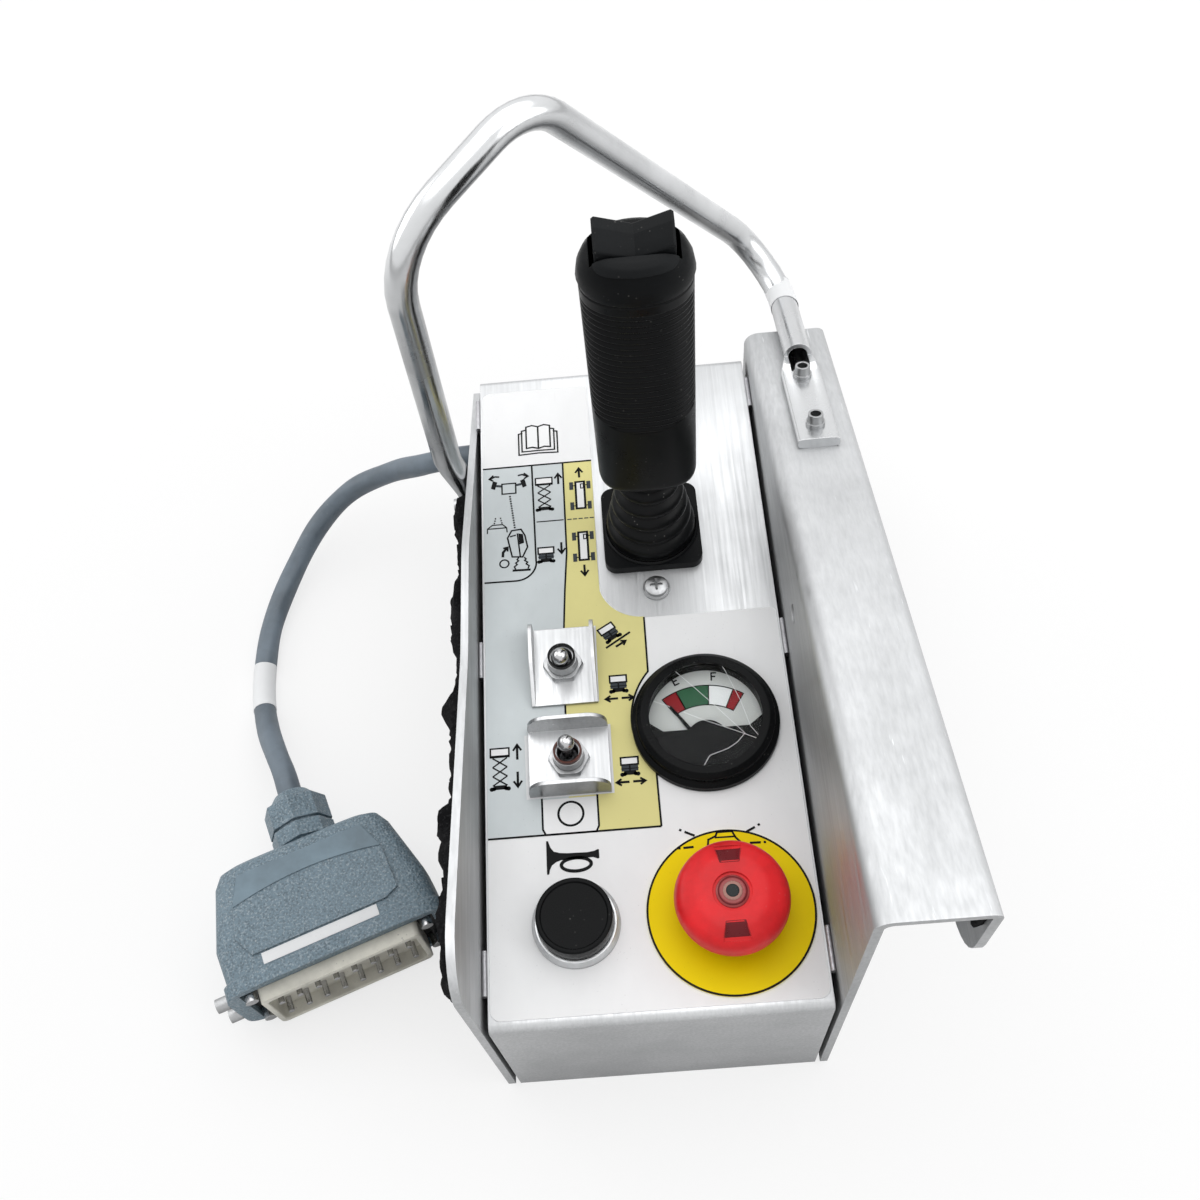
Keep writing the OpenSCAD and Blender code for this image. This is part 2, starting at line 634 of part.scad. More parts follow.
module thumb_rocker() {
    tip = rocker_w/2;
    color("#2b2f31") at_stick(cap_seam_h) {
        translate([0, -rocker_d/2]) along_y(rocker_d) polygon(rounded([[-tip*0.8, rocker_floor_h],
            [tip*0.8, rocker_floor_h], [tip, dome_h/2], [tip, rocker_h],
            [0, rocker_h - rocker_dip], [-tip, rocker_h], [-tip, dome_h/2]],
            [1, 1, 2, 3, 2, 3, 2]*rocker_w/40));
        translate([0, -rocker_d/2 - 2*rocker_pin_r, rocker_pivot_h]) rotate([-90, 0, 0])
            cylinder(h = rocker_d + 4*rocker_pin_r, r = rocker_pin_r);
    }
}

// Toggles and their guards
guard_t = 1.5;
seat_h = overlay_t + guard_t;
upper_guard = [26, 34];
lower_guard = [31, 28];
nut_h = 2.5;
bushing_top_h = 9;
bore_r = 4.2;
ball_h = 3;
bat_tip_r = 3.2;
bat_tip_h = 17;
bat_root_r = 2;
toggle_body = [15, 28, 24];
seal_h = 1.6;
seal_play = 0.45;
upper_lean = 15;

// Base with two bent-up walls at the ends of its first axis
module guard(size, wall) {
    color("#b5b8ba") translate([0, 0, overlay_t]) difference() {
        union() {
            translate([-size[0]/2, -size[1]/2]) cube([size[0], size[1], guard_t]);
            for (side = [-1, 1]) translate([side*(size[0]/2 - guard_t/2) - guard_t/2, 0])
                along_x(guard_t) polygon(wall);
        }
        translate([0, 0, -over]) cylinder(h = guard_t + 2*over, r = bushing_d/2 + fit);
    }
}
module upper_switch_guard() {
    l = upper_guard[1]/2;
    at_panel(upper_toggle_shares) guard(upper_guard, rounded([[-l, 0], [l, 0], [l, guard_h*0.85],
        [0, guard_h*0.8], [-l, guard_t]], [0, 0, l/4, l/2, 0]));
}
module lower_switch_guard() {
    l = lower_guard[0]/2;
    at_panel(lower_toggle_shares) rotate(90) guard([lower_guard[1], lower_guard[0]],
        rounded([[-l, 0], [l, 0], [l, guard_h], [-l, guard_h]], [0, 0, l/2, l/2]));
}
module switch_body() {
    difference() {
        union() {
            translate([0, 0, under - toggle_body[2]/2]) cube(toggle_body, center = true);
            translate([0, 0, under - fit]) cylinder(h = bushing_top_h - under + fit, r = bushing_d/2);
            for (i = [-1:1]) translate([-toggle_body[0]/4, i*toggle_body[1]/3 - guard_t/4,
                under - toggle_body[2]*1.3]) cube([toggle_body[0]/2, guard_t/2, toggle_body[2]/2]);
        }
        translate([0, 0, ball_h - bore_r]) cylinder(h = 2*bushing_top_h, r = bore_r);
    }
}
module upper_switch_body() { color("#30343a") at_panel(upper_toggle_shares) switch_body(); }
module lower_switch_body() { color("#2f4f8a") at_panel(lower_toggle_shares) switch_body(); }
module switch_nuts() {
    color("#c2c4c6") for (shares = [upper_toggle_shares, lower_toggle_shares])
        at_panel(shares, seat_h) difference() {
            intersection() {
                hexagon(toggle_nut_af, nut_h);
                cylinder(h = nut_h, r1 = toggle_nut_af*0.58, r2 = toggle_nut_af*0.54);
            }
            translate([0, 0, -over]) cylinder(h = nut_h + 2*over, r = bushing_d/2 + fit/2);
        }
}
module seal() { translate([0, 0, bushing_top_h]) tube(bushing_d*0.46, bore_r + seal_play, seal_h); }
module upper_switch_seal() { color("#1a1a1b") at_panel(upper_toggle_shares) seal(); }
module lower_switch_seal() { color("#6b3127") at_panel(lower_toggle_shares) seal(); }
module bat() {
    color("#cfd1d3") translate([0, 0, ball_h]) {
        sphere(bore_r - fit);
        cylinder(h = bat_tip_h - ball_h, r1 = bat_root_r, r2 = bat_tip_r*0.85);
        translate([0, 0, bat_tip_h - ball_h]) sphere(bat_tip_r);
    }
}
module upper_toggle_lever() {
    at_panel(upper_toggle_shares) translate([0, 0, ball_h]) rotate([upper_lean, 0, 0])
        translate([0, 0, -ball_h]) bat();
}
module lower_toggle_lever() { at_panel(lower_toggle_shares) bat(); }

// Gauge
bezel_h = 8.5;
lens_r = 22.6;
lens_t = 1.7;
lens_seat_h = 5.5;
dial_t = 0.8;
dial_r = 22;
pointer_back = 13;
pointer_l = 24;
pointer_h = 1.6;
pointer_t = 0.6;
hub_r = 1.5;
pointer_swing = 33;
cover_h = 2.8;
strap_w = 14;
strap_t = 2;
stud_r = 2;
stud_spread = 12;
module at_gauge(h = 0) { at_panel(gauge_shares, h) children(); }
module gauge_bezel() {
    r = gauge_d/2;
    step = (r - lens_r)/3;
    lip = lens_r - step/2;
    lens_top = lens_seat_h + lens_t + fit;
    color("#101112") at_gauge() rotate_extrude() polygon(rounded([[dial_r + fit, 0], [r, 0],
        [r, bezel_h*0.35], [r - step, bezel_h*0.5], [r - step, bezel_h*0.8], [r - 2*step, bezel_h],
        [lip, bezel_h], [lip, lens_top], [lens_r, lens_top], [lens_r, lens_seat_h],
        [dial_r + fit, lens_seat_h]], [0, 0, 1, 1, 1, 1, 0, 0, 0, 0, 0]*step/4));
}
module gauge_case() {
    color("#2a2c2e") at_gauge(-gauge_depth) {
        cylinder(h = gauge_depth, r = gauge_case_r);
        for (side = [-1, 1]) translate([side*stud_spread, 0, -8*stud_r]) cylinder(h = 9*stud_r, r = stud_r);
    }
}
module gauge_dial() {
    color("#e8e6da") at_gauge() difference() {
        cylinder(h = dial_t, r = dial_r);
        translate([0, -pointer_back, dial_t/2]) cylinder(h = dial_t, r = hub_r + fit);
    }
}
cover_edge_shares = [[-1, 0], [-0.75, -0.19], [0.75, -0.19], [1, 0], [1, 1], [-1, 1]];
cover_dome_shares = [0.36, -0.39];
module gauge_cover() {
    // Black lower cover with a low dome over the pointer's hub
    color("#151617") at_gauge() {
        translate([0, 0, cover_h]) linear_extrude(dial_t) {
            difference() {
                circle(dial_r);
                polygon(cover_edge_shares*dial_r);
            }
            translate([0, cover_dome_shares[1]*dial_r]) circle(cover_dome_shares[0]*dial_r);
        }
        for (side = [-1, 1]) translate([side*dial_r*0.75, -dial_r*0.5, dial_t])
            cylinder(h = cover_h - dial_t, r = dial_t);
    }
}
module gauge_pointer() {
    color("#0d0d0e") at_gauge() translate([0, -pointer_back]) {
        translate([0, 0, dial_t/2]) cylinder(h = cover_h - gap - dial_t/2, r = hub_r);
        rotate(pointer_swing) translate([0, 0, pointer_h]) linear_extrude(pointer_t)
            polygon([[-hub_r*0.8, 0], [hub_r*0.8, 0], [hub_r/5, pointer_l], [-hub_r/5, pointer_l]]);
    }
}
module gauge_lens() {
    color([0.8, 0.86, 0.88, 0.35]) at_gauge(lens_seat_h) cylinder(h = lens_t, r = lens_r - fit);
}
module gauge_clamp() {
    leg_x = gauge_case_r + gap;
    color("#a0a3a5") at_gauge() difference() {
        translate([0, -strap_w/2]) along_y(strap_w) difference() {
            translate([-leg_x - strap_t, -gauge_depth - strap_t])
                square([2*leg_x + 2*strap_t, gauge_depth + strap_t + under]);
            translate([-leg_x, -gauge_depth]) square([2*leg_x, gauge_depth + over]);
        }
        for (side = [-1, 1]) translate([side*stud_spread, 0, -2*gauge_depth])
            cylinder(h = 2*gauge_depth, r = stud_r + fit);
    }
}
module gauge_nuts() {
    color("#b8babc") at_gauge(-gauge_depth - strap_t - 2*stud_r) for (side = [-1, 1])
        translate([side*stud_spread, 0]) difference() {
            hexagon(4*stud_r, 2*stud_r);
            translate([0, 0, -over]) cylinder(h = 4*stud_r, r = stud_r + fit/2);
        }
}

// Push button and stop button
barrel_l = 16;
button_nut_af = 28;
button_nut_h = 4;
block = [29, 38, 32];
horn_ring_h = 3.4;
horn_cap_h = 7;
horn_lip = 2.2;
horn_travel = 3;
module barrel(h, bore) {
    translate([0, 0, under - barrel_l]) tube(panel_hole_r - fit, bore, barrel_l - under + h);
}
terminal_r = 3;
terminal_h = 2;
module contact_block() {
    color("#3a3d40") {
        translate([0, 0, under - barrel_l - block[2]/2]) cube(block, center = true);
        for (x = [-1, 1], y = [-1, 1])
            translate([x*block[0]/4, y*block[1]/3, under - barrel_l - block[2] - terminal_h])
                cylinder(h = terminal_h + over, r = terminal_r);
    }
}
module horn_ring() {
    r = horn_ring_d/2;
    lip = r - horn_lip + fit;
    floor_h = 0.35*horn_ring_h;
    color("#c9cbcd") at_panel(horn_shares, overlay_t) rotate_extrude() polygon(rounded(
        [[panel_hole_r, 0], [r, 0], [r, horn_ring_h*0.4], [r - horn_lip*0.6, horn_ring_h],
        [lip, horn_ring_h], [lip, floor_h], [panel_hole_r, floor_h]],
        [0, 0, 0.23, 0.14, 0, 0, 0]*horn_lip));
}
horn_stem_r = 7.8;
module horn_cap() {
    r = horn_ring_d/2 - horn_lip - fit;
    low = overlay_t + 0.35*horn_ring_h + horn_travel + gap;
    color("#0f1011") at_panel(horn_shares) {
        translate([0, 0, low]) rotate_extrude() polygon(rounded([[0, 0], [r, 0], [r, horn_cap_h],
            [r - horn_lip*0.7, horn_cap_h], [r - horn_lip*0.9, horn_cap_h - horn_lip*0.3],
            [0, horn_cap_h - horn_lip*0.45]], [0, 0, 0.32, 0, 0, 0]*horn_lip));
        translate([0, 0, under]) cylinder(h = low - under + fit, r = horn_stem_r);
    }
}
module horn_barrel() { color("#55585a") at_panel(horn_shares) barrel(overlay_t, horn_stem_r + fit); }
module horn_contact() { at_panel(horn_shares) contact_block(); }
stop_travel = 4;
stop_collar_h = 6;
stop_stem_r = 7.5;
disc_t = 0.8;
module stop_disc() {
    color("#f0c412") at_panel(stop_shares, overlay_t) tube(stop_disc_d/2, panel_hole_r + fit, disc_t);
}
module stop_collar() {
    color("#1a1b1c") at_panel(stop_shares, overlay_t + disc_t) difference() {
        cylinder(h = stop_collar_h, r1 = stop_head_d*0.37, r2 = stop_head_d*0.34);
        translate([0, 0, -over]) cylinder(h = stop_collar_h + 2*over, r = stop_stem_r + fit);
    }
}
module stop_plunger() {
    low = overlay_t + disc_t + stop_collar_h + stop_travel + gap;
    color("#8b1512") at_panel(stop_shares, under - barrel_l/2)
        cylinder(h = low + over - under + barrel_l/2, r = stop_stem_r);
}
stop_lens_r = 6.8;
stop_recess = 1;
// Windows on the mushroom: inner and outer reach and half widths, and how far they are let in
window_reach = [10.9, 17.1];
window_half_w = [3.4, 4.7];
window_slope = 20;
window_recess = 0.6;
module stop_head() {
    r = stop_head_d/2;
    low = overlay_t + disc_t + stop_collar_h + stop_travel + gap;
    h = stop_head_h - low;
    rim = [[0, 0], [r*0.86, 0], [r, h*0.3], [r*0.94, h*0.78], [r*0.6, h*0.98], [0, h]];
    color("#b3201b") at_panel(stop_shares, low) difference() {
        rotate_extrude() polygon(rounded(rim, [0, 1/8, 1/6, 1/4, 1/2, 0]*r));
        translate([0, 0, -over]) cylinder(h = 2*over, r = stop_stem_r + fit);
        translate([0, 0, h - stop_recess]) cylinder(h = stop_recess + over, r = stop_lens_r);
        for (side = [-90, 90]) rotate(side) translate([rim[4][0], 0, rim[4][1]]) rotate([0, window_slope, 0])
            translate([-rim[4][0], 0, -window_recess]) linear_extrude(2*window_recess + over)
                polygon([for (i = [0, 1]) each [for (k = i == 0 ? [-1, 1] : [1, -1])
                    [window_reach[i], k*window_half_w[i]]]]);
    }
}
module stop_barrel() {
    color("#45484a") at_panel(stop_shares) barrel(overlay_t + disc_t - fit, stop_stem_r + fit);
}
module stop_contact() { at_panel(stop_shares) contact_block(); }
module button_nuts() {
    color("#9fa2a4") for (shares = [horn_shares, stop_shares]) at_panel(shares, under - button_nut_h)
        difference() {
            hexagon(button_nut_af, button_nut_h);
            translate([0, 0, -over]) cylinder(h = button_nut_h + 2*over, r = panel_hole_r - fit/2);
        }
}

// Terminal strip under the panel and the cable's end inside the box
strip = [80, 22, 18];
strip_post_h = box_h - sheet_t - cable_exit_z - strip[2]/2;
strip_start = -wall_x + 24;
strip_ways = 8;
module terminal_strip() {
    place = [strip_start, cable_exit_y - strip[1]/2, cable_exit_z - strip[2]/2];
    color("#c8c4b4") translate(place) difference() {
        union() {
            cube(strip);
            for (share = [0.08, 0.92]) translate([strip[0]*share, strip[1]/2, strip[2] - over])
                cylinder(h = strip_post_h + over, r = strip[1]/6);
        }
        for (i = [0:strip_ways - 1]) translate([strip[0]*(i + 0.5)/strip_ways, -over, strip[2]*0.3])
            cube([strip[0]/strip_ways/2, strip[1]/4 + over, strip[2]]);
    }
}
grommet_flange = 2.5;
cable_exit = [-wall_x - plate_t - grommet_flange, cable_exit_y, cable_exit_z];
module cable_tail() {
    color("#5b6b86") translate(cable_exit) rotate([0, 90, 0])
        cylinder(h = strip_start - cable_exit[0], r = cable_d/2);
}
module cable_grommet() {
    l = plate_t + 2*grommet_flange;
    wide_r = grommet_r + grommet_flange;
    color("#1c1d1e") translate(cable_exit) rotate([0, 90, 0]) difference() {
        union() {
            cylinder(h = grommet_flange, r1 = grommet_r, r2 = wide_r);
            cylinder(h = l, r = grommet_r);
            translate([0, 0, l - grommet_flange]) cylinder(h = grommet_flange, r = wide_r);
        }
        translate([0, 0, -over]) cylinder(h = l + 2*over, r = cable_d/2 + fit);
    }
}

// Cable: its centre line leaves the grommet, then lies on the table up to the plug's gland
exit_bend = [[0, 0, 0], [-12.5, 0, -1], [-26.5, 4, -9], [-43.5, 12, -23]];
table_route = [[-134, 136, 32], [-153, 125, 20], [-168, 103, 10], [-177, 78, 6], [-179, 56, 5.5],
    [-178, 36, 6.5], [-173, 17, 12], [-166, 1, 19], [-161, -10, 21.5], [-157, -22, 21.5]];
cable_route = concat([for (p = exit_bend) cable_exit + p], table_route);
plug_at = [-129, -98.3];
plug_turn = 20;
cable_sides = 12;
cable_steps = 3;

// Smooth curve through the route's points
function spline(a, b, c, d, t) =
    (2*b + (c - a)*t + (2*a - 5*b + 4*c - d)*t*t + (3*b - a - 3*c + d)*t*t*t)/2;
function route_point(p, i, t) = let (n = len(p) - 1)
    spline(i > 0 ? p[i - 1] : 2*p[0] - p[1], p[i], p[i + 1],
        i + 2 <= n ? p[i + 2] : 2*p[n] - p[n - 1], t);
cable_line = [for (i = [0:len(cable_route) - 2]) for (k = [0:cable_steps - 1])
    route_point(cable_route, i, k/cable_steps), cable_route[len(cable_route) - 1]];
function cable_way(i) = let (n = len(cable_line) - 1)
    i == 0 ? [-1, 0, 0] : i == n ? [sin(plug_turn), -cos(plug_turn), 0]
    : unit(cable_line[i + 1] - cable_line[i - 1]);
module cable() {
    color("#60708c") loft([for (i = [0:len(cable_line) - 1])
        let (way = cable_way(i), side = unit(cross([0, 0, 1], way)), up = cross(way, side))
        [for (k = [0:cable_sides - 1]) let (angle = 360*(k + 0.5)/cable_sides)
            cable_line[i] + cable_d/2*(cos(angle)*side + sin(angle)*up)]]);
}

// Plug lying on its broad side: local Y runs from its mouth back to the cable
plug_wall = 3;
plug_edge_r = 7;
gland_l = 28;
gland_af = 26;
insert_out = 6;
insert_in = 14;
pin_rows = 2;
pin_columns = 8;
pin_r = 1.25;
peg_r = 3;
peg_l = 5;
module at_plug() { translate([each plug_at, 0]) rotate(plug_turn) children(); }
function plug_ring(y, w, t, off) = [for (p = oval(w/2, t/2, 7, 36)) [off - p[0], y, p[1] + plug_t/2]];
module plug_hood() {
    // Shares of the length, width and thickness, and of the shift to the left, from mouth to back
    ring_shares = [[0, 1, 1, 0], [0.11, 1, 1, 0], [0.13, 0.97, 0.95, 0], [0.4, 0.965, 0.94, -0.01],
        [0.88, 0.82, 0.92, -0.015], [0.97, 0.76, 0.87, -0.015], [1, 0.68, 0.78, -0.015]];
    color("#66768f") at_plug() difference() {
        union() {
            loft([for (s = ring_shares) plug_ring(s[0]*plug_l, s[1]*plug_w, s[2]*plug_t, s[3]*plug_w)]);
            translate([0, plug_l - over, plug_t/2]) rotate([-90, 0, 0])
                cylinder(h = over + plug_wall, d = gland_af*0.86);
        }
        translate([-plug_w/2 + 2*plug_wall, -over, 1.5*plug_wall])
            cube([plug_w - 4*plug_wall, insert_in + over, plug_t - 3*plug_wall]);
    }
}
module plug_gland() {
    color("#596a86") at_plug() translate([0, plug_l + plug_wall, plug_t/2]) rotate([-90, 0, 0]) difference() {
        union() {
            linear_extrude(gland_l*0.25) circle(gland_af/2/cos(22.5), $fn = 8);
            cylinder(h = gland_l*0.3, d = gland_af*0.9);
            translate([0, 0, gland_l*0.3]) linear_extrude(gland_l*0.4) circle(gland_af/2/cos(22.5), $fn = 8);
            translate([0, 0, gland_l*0.7]) cylinder(h = gland_l*0.2, d1 = gland_af*0.94, d2 = cable_d*1.5);
        }
        translate([0, 0, gland_l*0.9 - 2*cable_d + over]) cylinder(h = 3*cable_d, d = cable_d*1.15);
    }
}
insert_w = plug_w - 4*plug_wall - gap;
insert_t = plug_t - 3*plug_wall - gap;
insert_ear = 7;
insert_ear_in = 3;
corner_screw_r = 2.6;
corner_screw_l = 6;
module insert_outline(w) {
    polygon(rounded([[-w/2, -insert_t/2], [w/2, -insert_t/2], [w/2, insert_t/2],
        [-w/2, insert_t/2]], [1, 1, 4, 4]*plug_wall/3));
}
module plug_insert() {
    // Contact block between two ears that sit deeper in the hood and carry the corner screws
    color("#d9cfae") at_plug() translate([0, 0, plug_t/2]) difference() {
        union() {
            translate([0, insert_ear_in, 0]) along_y(insert_in - insert_ear_in - gap)
                insert_outline(insert_w);
            translate([0, -insert_out, 0]) along_y(insert_out + insert_in - gap)
                insert_outline(insert_w - 2*insert_ear);
        }
        translate([0, -insert_out, 0]) pin_places() cylinder(h = insert_in, r = 2*pin_r, center = true);
    }
}
module pin_places() {
    for (i = [0:pin_columns - 1], j = [0:pin_rows - 1])
        translate([(i - (pin_columns - 1)/2)*plug_w/12, 0, (j - (pin_rows - 1)/2)*plug_t/3])
            rotate([90, 0, 0]) children();
}
module plug_pins() {
    color("#c9c6bd") at_plug() translate([0, 0, plug_t/2]) {
        translate([0, -insert_out, 0]) pin_places()
            translate([0, 0, -insert_in/2]) cylinder(h = insert_in/2, r = pin_r);
        for (x = [-1, 1], z = [-1, 1])
            translate([x*(insert_w - insert_ear)/2, insert_ear_in, z*(insert_t - insert_ear)/2])
                rotate([90, 0, 0]) cylinder(h = corner_screw_l, r = corner_screw_r);
    }
}
module plug_pegs() {
    color("#b3b6b8") at_plug() for (side = [-1, 1], up = [0.3, 0.7])
        translate([side*(plug_w/2 + fit), peg_r, plug_t*up]) rotate([0, side*90, 0])
            cylinder(h = peg_l, r = peg_r);
}

control_panel();
left_side_plate();
right_hanger_plate();
base_cover();
base_screws();
weld_beads();
panel_overlay();
side_foam_pad();
rail_pad();
guard_hoop();
hoop_rivets();
joystick_base();
joystick_gaiter();
joystick_body();
joystick_screws();
joystick_shaft();
joystick_grip();
grip_cap();
thumb_rocker();
upper_switch_guard();
lower_switch_guard();
upper_switch_body();
lower_switch_body();
switch_nuts();
upper_switch_seal();
lower_switch_seal();
upper_toggle_lever();
lower_toggle_lever();
gauge_bezel();
gauge_case();
gauge_dial();
gauge_cover();
gauge_pointer();
gauge_lens();
gauge_clamp();
gauge_nuts();
horn_ring();
horn_cap();
horn_barrel();
horn_contact();
stop_disc();
stop_collar();
stop_plunger();
stop_head();
stop_barrel();
stop_contact();
button_nuts();
terminal_strip();
cable_tail();
cable_grommet();
cable();
plug_gland();
plug_hood();
plug_insert();
plug_pins();
plug_pegs();
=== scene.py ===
"""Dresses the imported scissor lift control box: finishes, printed legend, cable, foam and studio."""

import math

import bpy
from bpy.props import FloatProperty, FloatVectorProperty, IntProperty, PointerProperty
from mathutils import Matrix, Vector, noise


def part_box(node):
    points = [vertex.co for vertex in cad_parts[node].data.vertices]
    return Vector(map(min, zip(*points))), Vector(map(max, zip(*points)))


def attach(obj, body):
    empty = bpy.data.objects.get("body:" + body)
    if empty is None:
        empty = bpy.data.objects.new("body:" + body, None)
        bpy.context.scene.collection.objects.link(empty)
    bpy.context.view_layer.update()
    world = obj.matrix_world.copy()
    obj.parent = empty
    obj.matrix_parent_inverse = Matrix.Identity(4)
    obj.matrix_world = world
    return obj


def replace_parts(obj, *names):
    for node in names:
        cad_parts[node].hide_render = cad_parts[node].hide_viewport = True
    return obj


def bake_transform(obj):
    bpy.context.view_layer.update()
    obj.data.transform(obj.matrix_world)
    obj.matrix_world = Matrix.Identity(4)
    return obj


bl_info = {
    "name": "Scissor lift control box",
    "version": (1, 0, 0),
    "blender": (4, 5, 0),
    "location": "View3D > Sidebar > Control box",
    "description": "Finishes, legend, cable, foam and studio for a packed control box",
    "category": "Object",
}

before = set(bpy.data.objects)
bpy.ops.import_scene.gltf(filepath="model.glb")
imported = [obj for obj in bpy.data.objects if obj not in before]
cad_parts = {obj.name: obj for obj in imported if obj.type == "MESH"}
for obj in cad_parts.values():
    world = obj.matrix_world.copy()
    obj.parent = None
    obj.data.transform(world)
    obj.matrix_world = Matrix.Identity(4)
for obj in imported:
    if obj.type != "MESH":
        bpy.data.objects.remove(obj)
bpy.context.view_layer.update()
MM = 0.001


def middle_of(node):
    """The middle of a CAD node at rest."""
    low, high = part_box(node)
    return (low + high) / 2


# Places that the finishes and pieces hang on, in metres, and the width of the panel's front fold in mm
PANEL_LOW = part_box("control_panel")[0]
FILM_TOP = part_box("panel_overlay")[1].z
GAUGE, STICK, STOP = middle_of("gauge_bezel"), middle_of("joystick_base"), middle_of("stop_head")
FOLD = 2.5


def from_legend(x, y, height):
    """A place x right and y back of the legend's front left corner in mm, at a height in metres."""
    return Vector((PANEL_LOW.x + x * MM, PANEL_LOW.y + (y + FOLD) * MM, height))


def to_legend(place):
    """How far right and back of the legend's front left corner a place is, in mm."""
    return (place.x - PANEL_LOW.x) / MM, (place.y - PANEL_LOW.y) / MM - FOLD


# Sizes and colours that a user would change
def color(name, description, value):
    return FloatVectorProperty(
        name=name, description=description, subtype="COLOR", size=3, min=0, max=1, default=value)


def length(name, description, value):
    return FloatProperty(name=name, description=description, default=value, min=0, unit="LENGTH")


class ControlBoxColors(bpy.types.PropertyGroup):
    """Colours of the finishes."""

    sheet: color("Sheet metal", "Aluminium and zinc plated steel", (0.63, 0.64, 0.65))
    film: color("Printed film", "White ground of the legend", (0.90, 0.905, 0.91))
    shade: color("Legend shade", "Grey ground behind the pictures", (0.689, 0.740, 0.754))
    drive: color("Drive zone", "Pale yellow zone of the legend", (0.80, 0.74, 0.32))
    ink: color("Ink", "Lines and pictures of the legend", (0.006, 0.0065, 0.007))
    stop_plate: color("Stop plate", "Round plate under the stop button", (0.92, 0.70, 0.0))
    stop_knob: color("Stop button", "Mushroom of the stop button", (0.66, 0.012, 0.016))
    black: color("Black plastic", "Grip, bezel and buttons", (0.0045, 0.005, 0.0055))
    jacket: color("Cable", "Jacket of the cable", (0.125, 0.155, 0.185))
    hood: color("Plug", "Painted hood and gland of the plug", (0.115, 0.160, 0.192))
    insert: color("Plug insert", "Moulded insert of the plug", (0.58, 0.565, 0.50))


class ControlBoxSizes(bpy.types.PropertyGroup):
    """Sizes of the pieces that are made here."""

    cable_d: length("Cable", "Diameter of the cable", 0.0105)
    label_l: length("Cable label", "Length of the bare label on the cable", 0.024)
    line_w: length("Line", "Width of the legend's lines", 0.0006)
    bold: FloatProperty(
        name="Boldness", description="Widens all lines of the legend alike", default=1.25, min=0.5,
        subtype="FACTOR")
    ribs: IntProperty(name="Ribs", description="Ribs on the front of the grip", default=20, min=4)
    rings: IntProperty(name="Gaiter rings", description="Folds of the gaiter", default=5, min=2)
    view_l: FloatProperty(
        name="Lens", description="Focal length of the camera", default=38.636, unit="CAMERA")


def colors():
    return bpy.context.scene.control_box_colors


def sizes():
    return bpy.context.scene.control_box_sizes


# Shader nodes
def feed(tree, socket, value):
    """Links a socket to another, or fills it, a colour as an opaque one."""
    if isinstance(value, bpy.types.NodeSocket):
        tree.links.new(value, socket)
    elif socket.type == "RGBA":
        socket.default_value = (*value[:3], 1.0)
    else:
        socket.default_value = value


def add(tree, kind, inputs=None, **settings):
    """Adds a node, sets it and feeds its inputs."""
    made = tree.nodes.new(kind)
    for name, value in settings.items():
        setattr(made, name, value)
    for key, value in (inputs or {}).items():
        feed(tree, made.inputs[key], value)
    return made


def combine(tree, operation, first, second):
    return add(tree, "ShaderNodeMath", {0: first, 1: second}, operation=operation).outputs[0]


def remap(tree, value, low, high, to_low=0.0, to_high=1.0):
    """A value taken from one range to another and held within it."""
    return add(tree, "ShaderNodeMapRange", {
        "Value": value, "From Min": low, "From Max": high, "To Min": to_low,
        "To Max": to_high}).outputs["Result"]


def mix(tree, share, first, second, way="MIX"):
    """Two colours mixed, by the share of the second."""
    return add(tree, "ShaderNodeMix", {0: share, 6: first, 7: second},
               data_type="RGBA", blend_type=way).outputs[2]


def layered(tree, ground, *coats):
    """A colour with coats over it, each given as its share and its colour."""
    for share, value in coats:
        ground = mix(tree, share, ground, value)
    return ground


def object_place(tree):
    return add(tree, "ShaderNodeTexCoord").outputs["Object"]


def surface_noise(tree, stretch, detail=4.0, roughness=0.55):
    """Noise over the surface, stretched by a vector of turns per metre."""
    scaled = add(tree, "ShaderNodeVectorMath", {0: object_place(tree), 1: stretch}, operation="MULTIPLY")
    return add(tree, "ShaderNodeTexNoise", {
        "Vector": scaled.outputs[0], "Scale": 1.0, "Detail": detail,
        "Roughness": roughness}).outputs["Fac"]


def rounded_normal(tree, radius):
    return add(tree, "ShaderNodeBevel", {"Radius": radius}, samples=4).outputs["Normal"]


# Shader effects that several finishes share
def effect(name, result, **inputs):
    """An empty shader group, the sockets that it is given and the socket of its one result."""
    tree = bpy.data.node_groups.new(name, "ShaderNodeTree")
    for label, value in inputs.items():
        kind = "NodeSocketVector" if isinstance(value, tuple) else "NodeSocketFloat"
        tree.interface.new_socket(label, in_out="INPUT", socket_type=kind).default_value = value
    tree.interface.new_socket(result, in_out="OUTPUT", socket_type="NodeSocketFloat")
    return tree, tree.nodes.new("NodeGroupInput").outputs, tree.nodes.new("NodeGroupOutput").inputs[0]


def masked(tree, out, first, second, amount):
    """Ends an effect with the product of two masks and an amount."""
    feed(tree, out, combine(tree, "MULTIPLY", combine(tree, "MULTIPLY", first, second), amount))
    return tree


def make_grain():
    """Fine noise, drawn out along the grain."""
    tree, given, out = effect("Surface grain", "Grain", Stretch=(900, 20, 900))
    feed(tree, out, surface_noise(tree, given["Stretch"]))
    return tree


def make_blotches():
    """Soft patches between two values."""
    tree, given, out = effect("Blotches", "Value", Stretch=(20, 20, 20), Low=0.0, High=1.0)
    patches = remap(tree, surface_noise(tree, given["Stretch"], 6.0, 0.6), 0.36, 0.64)
    feed(tree, out, remap(tree, patches, 0, 1, given["Low"], given["High"]))
    return tree


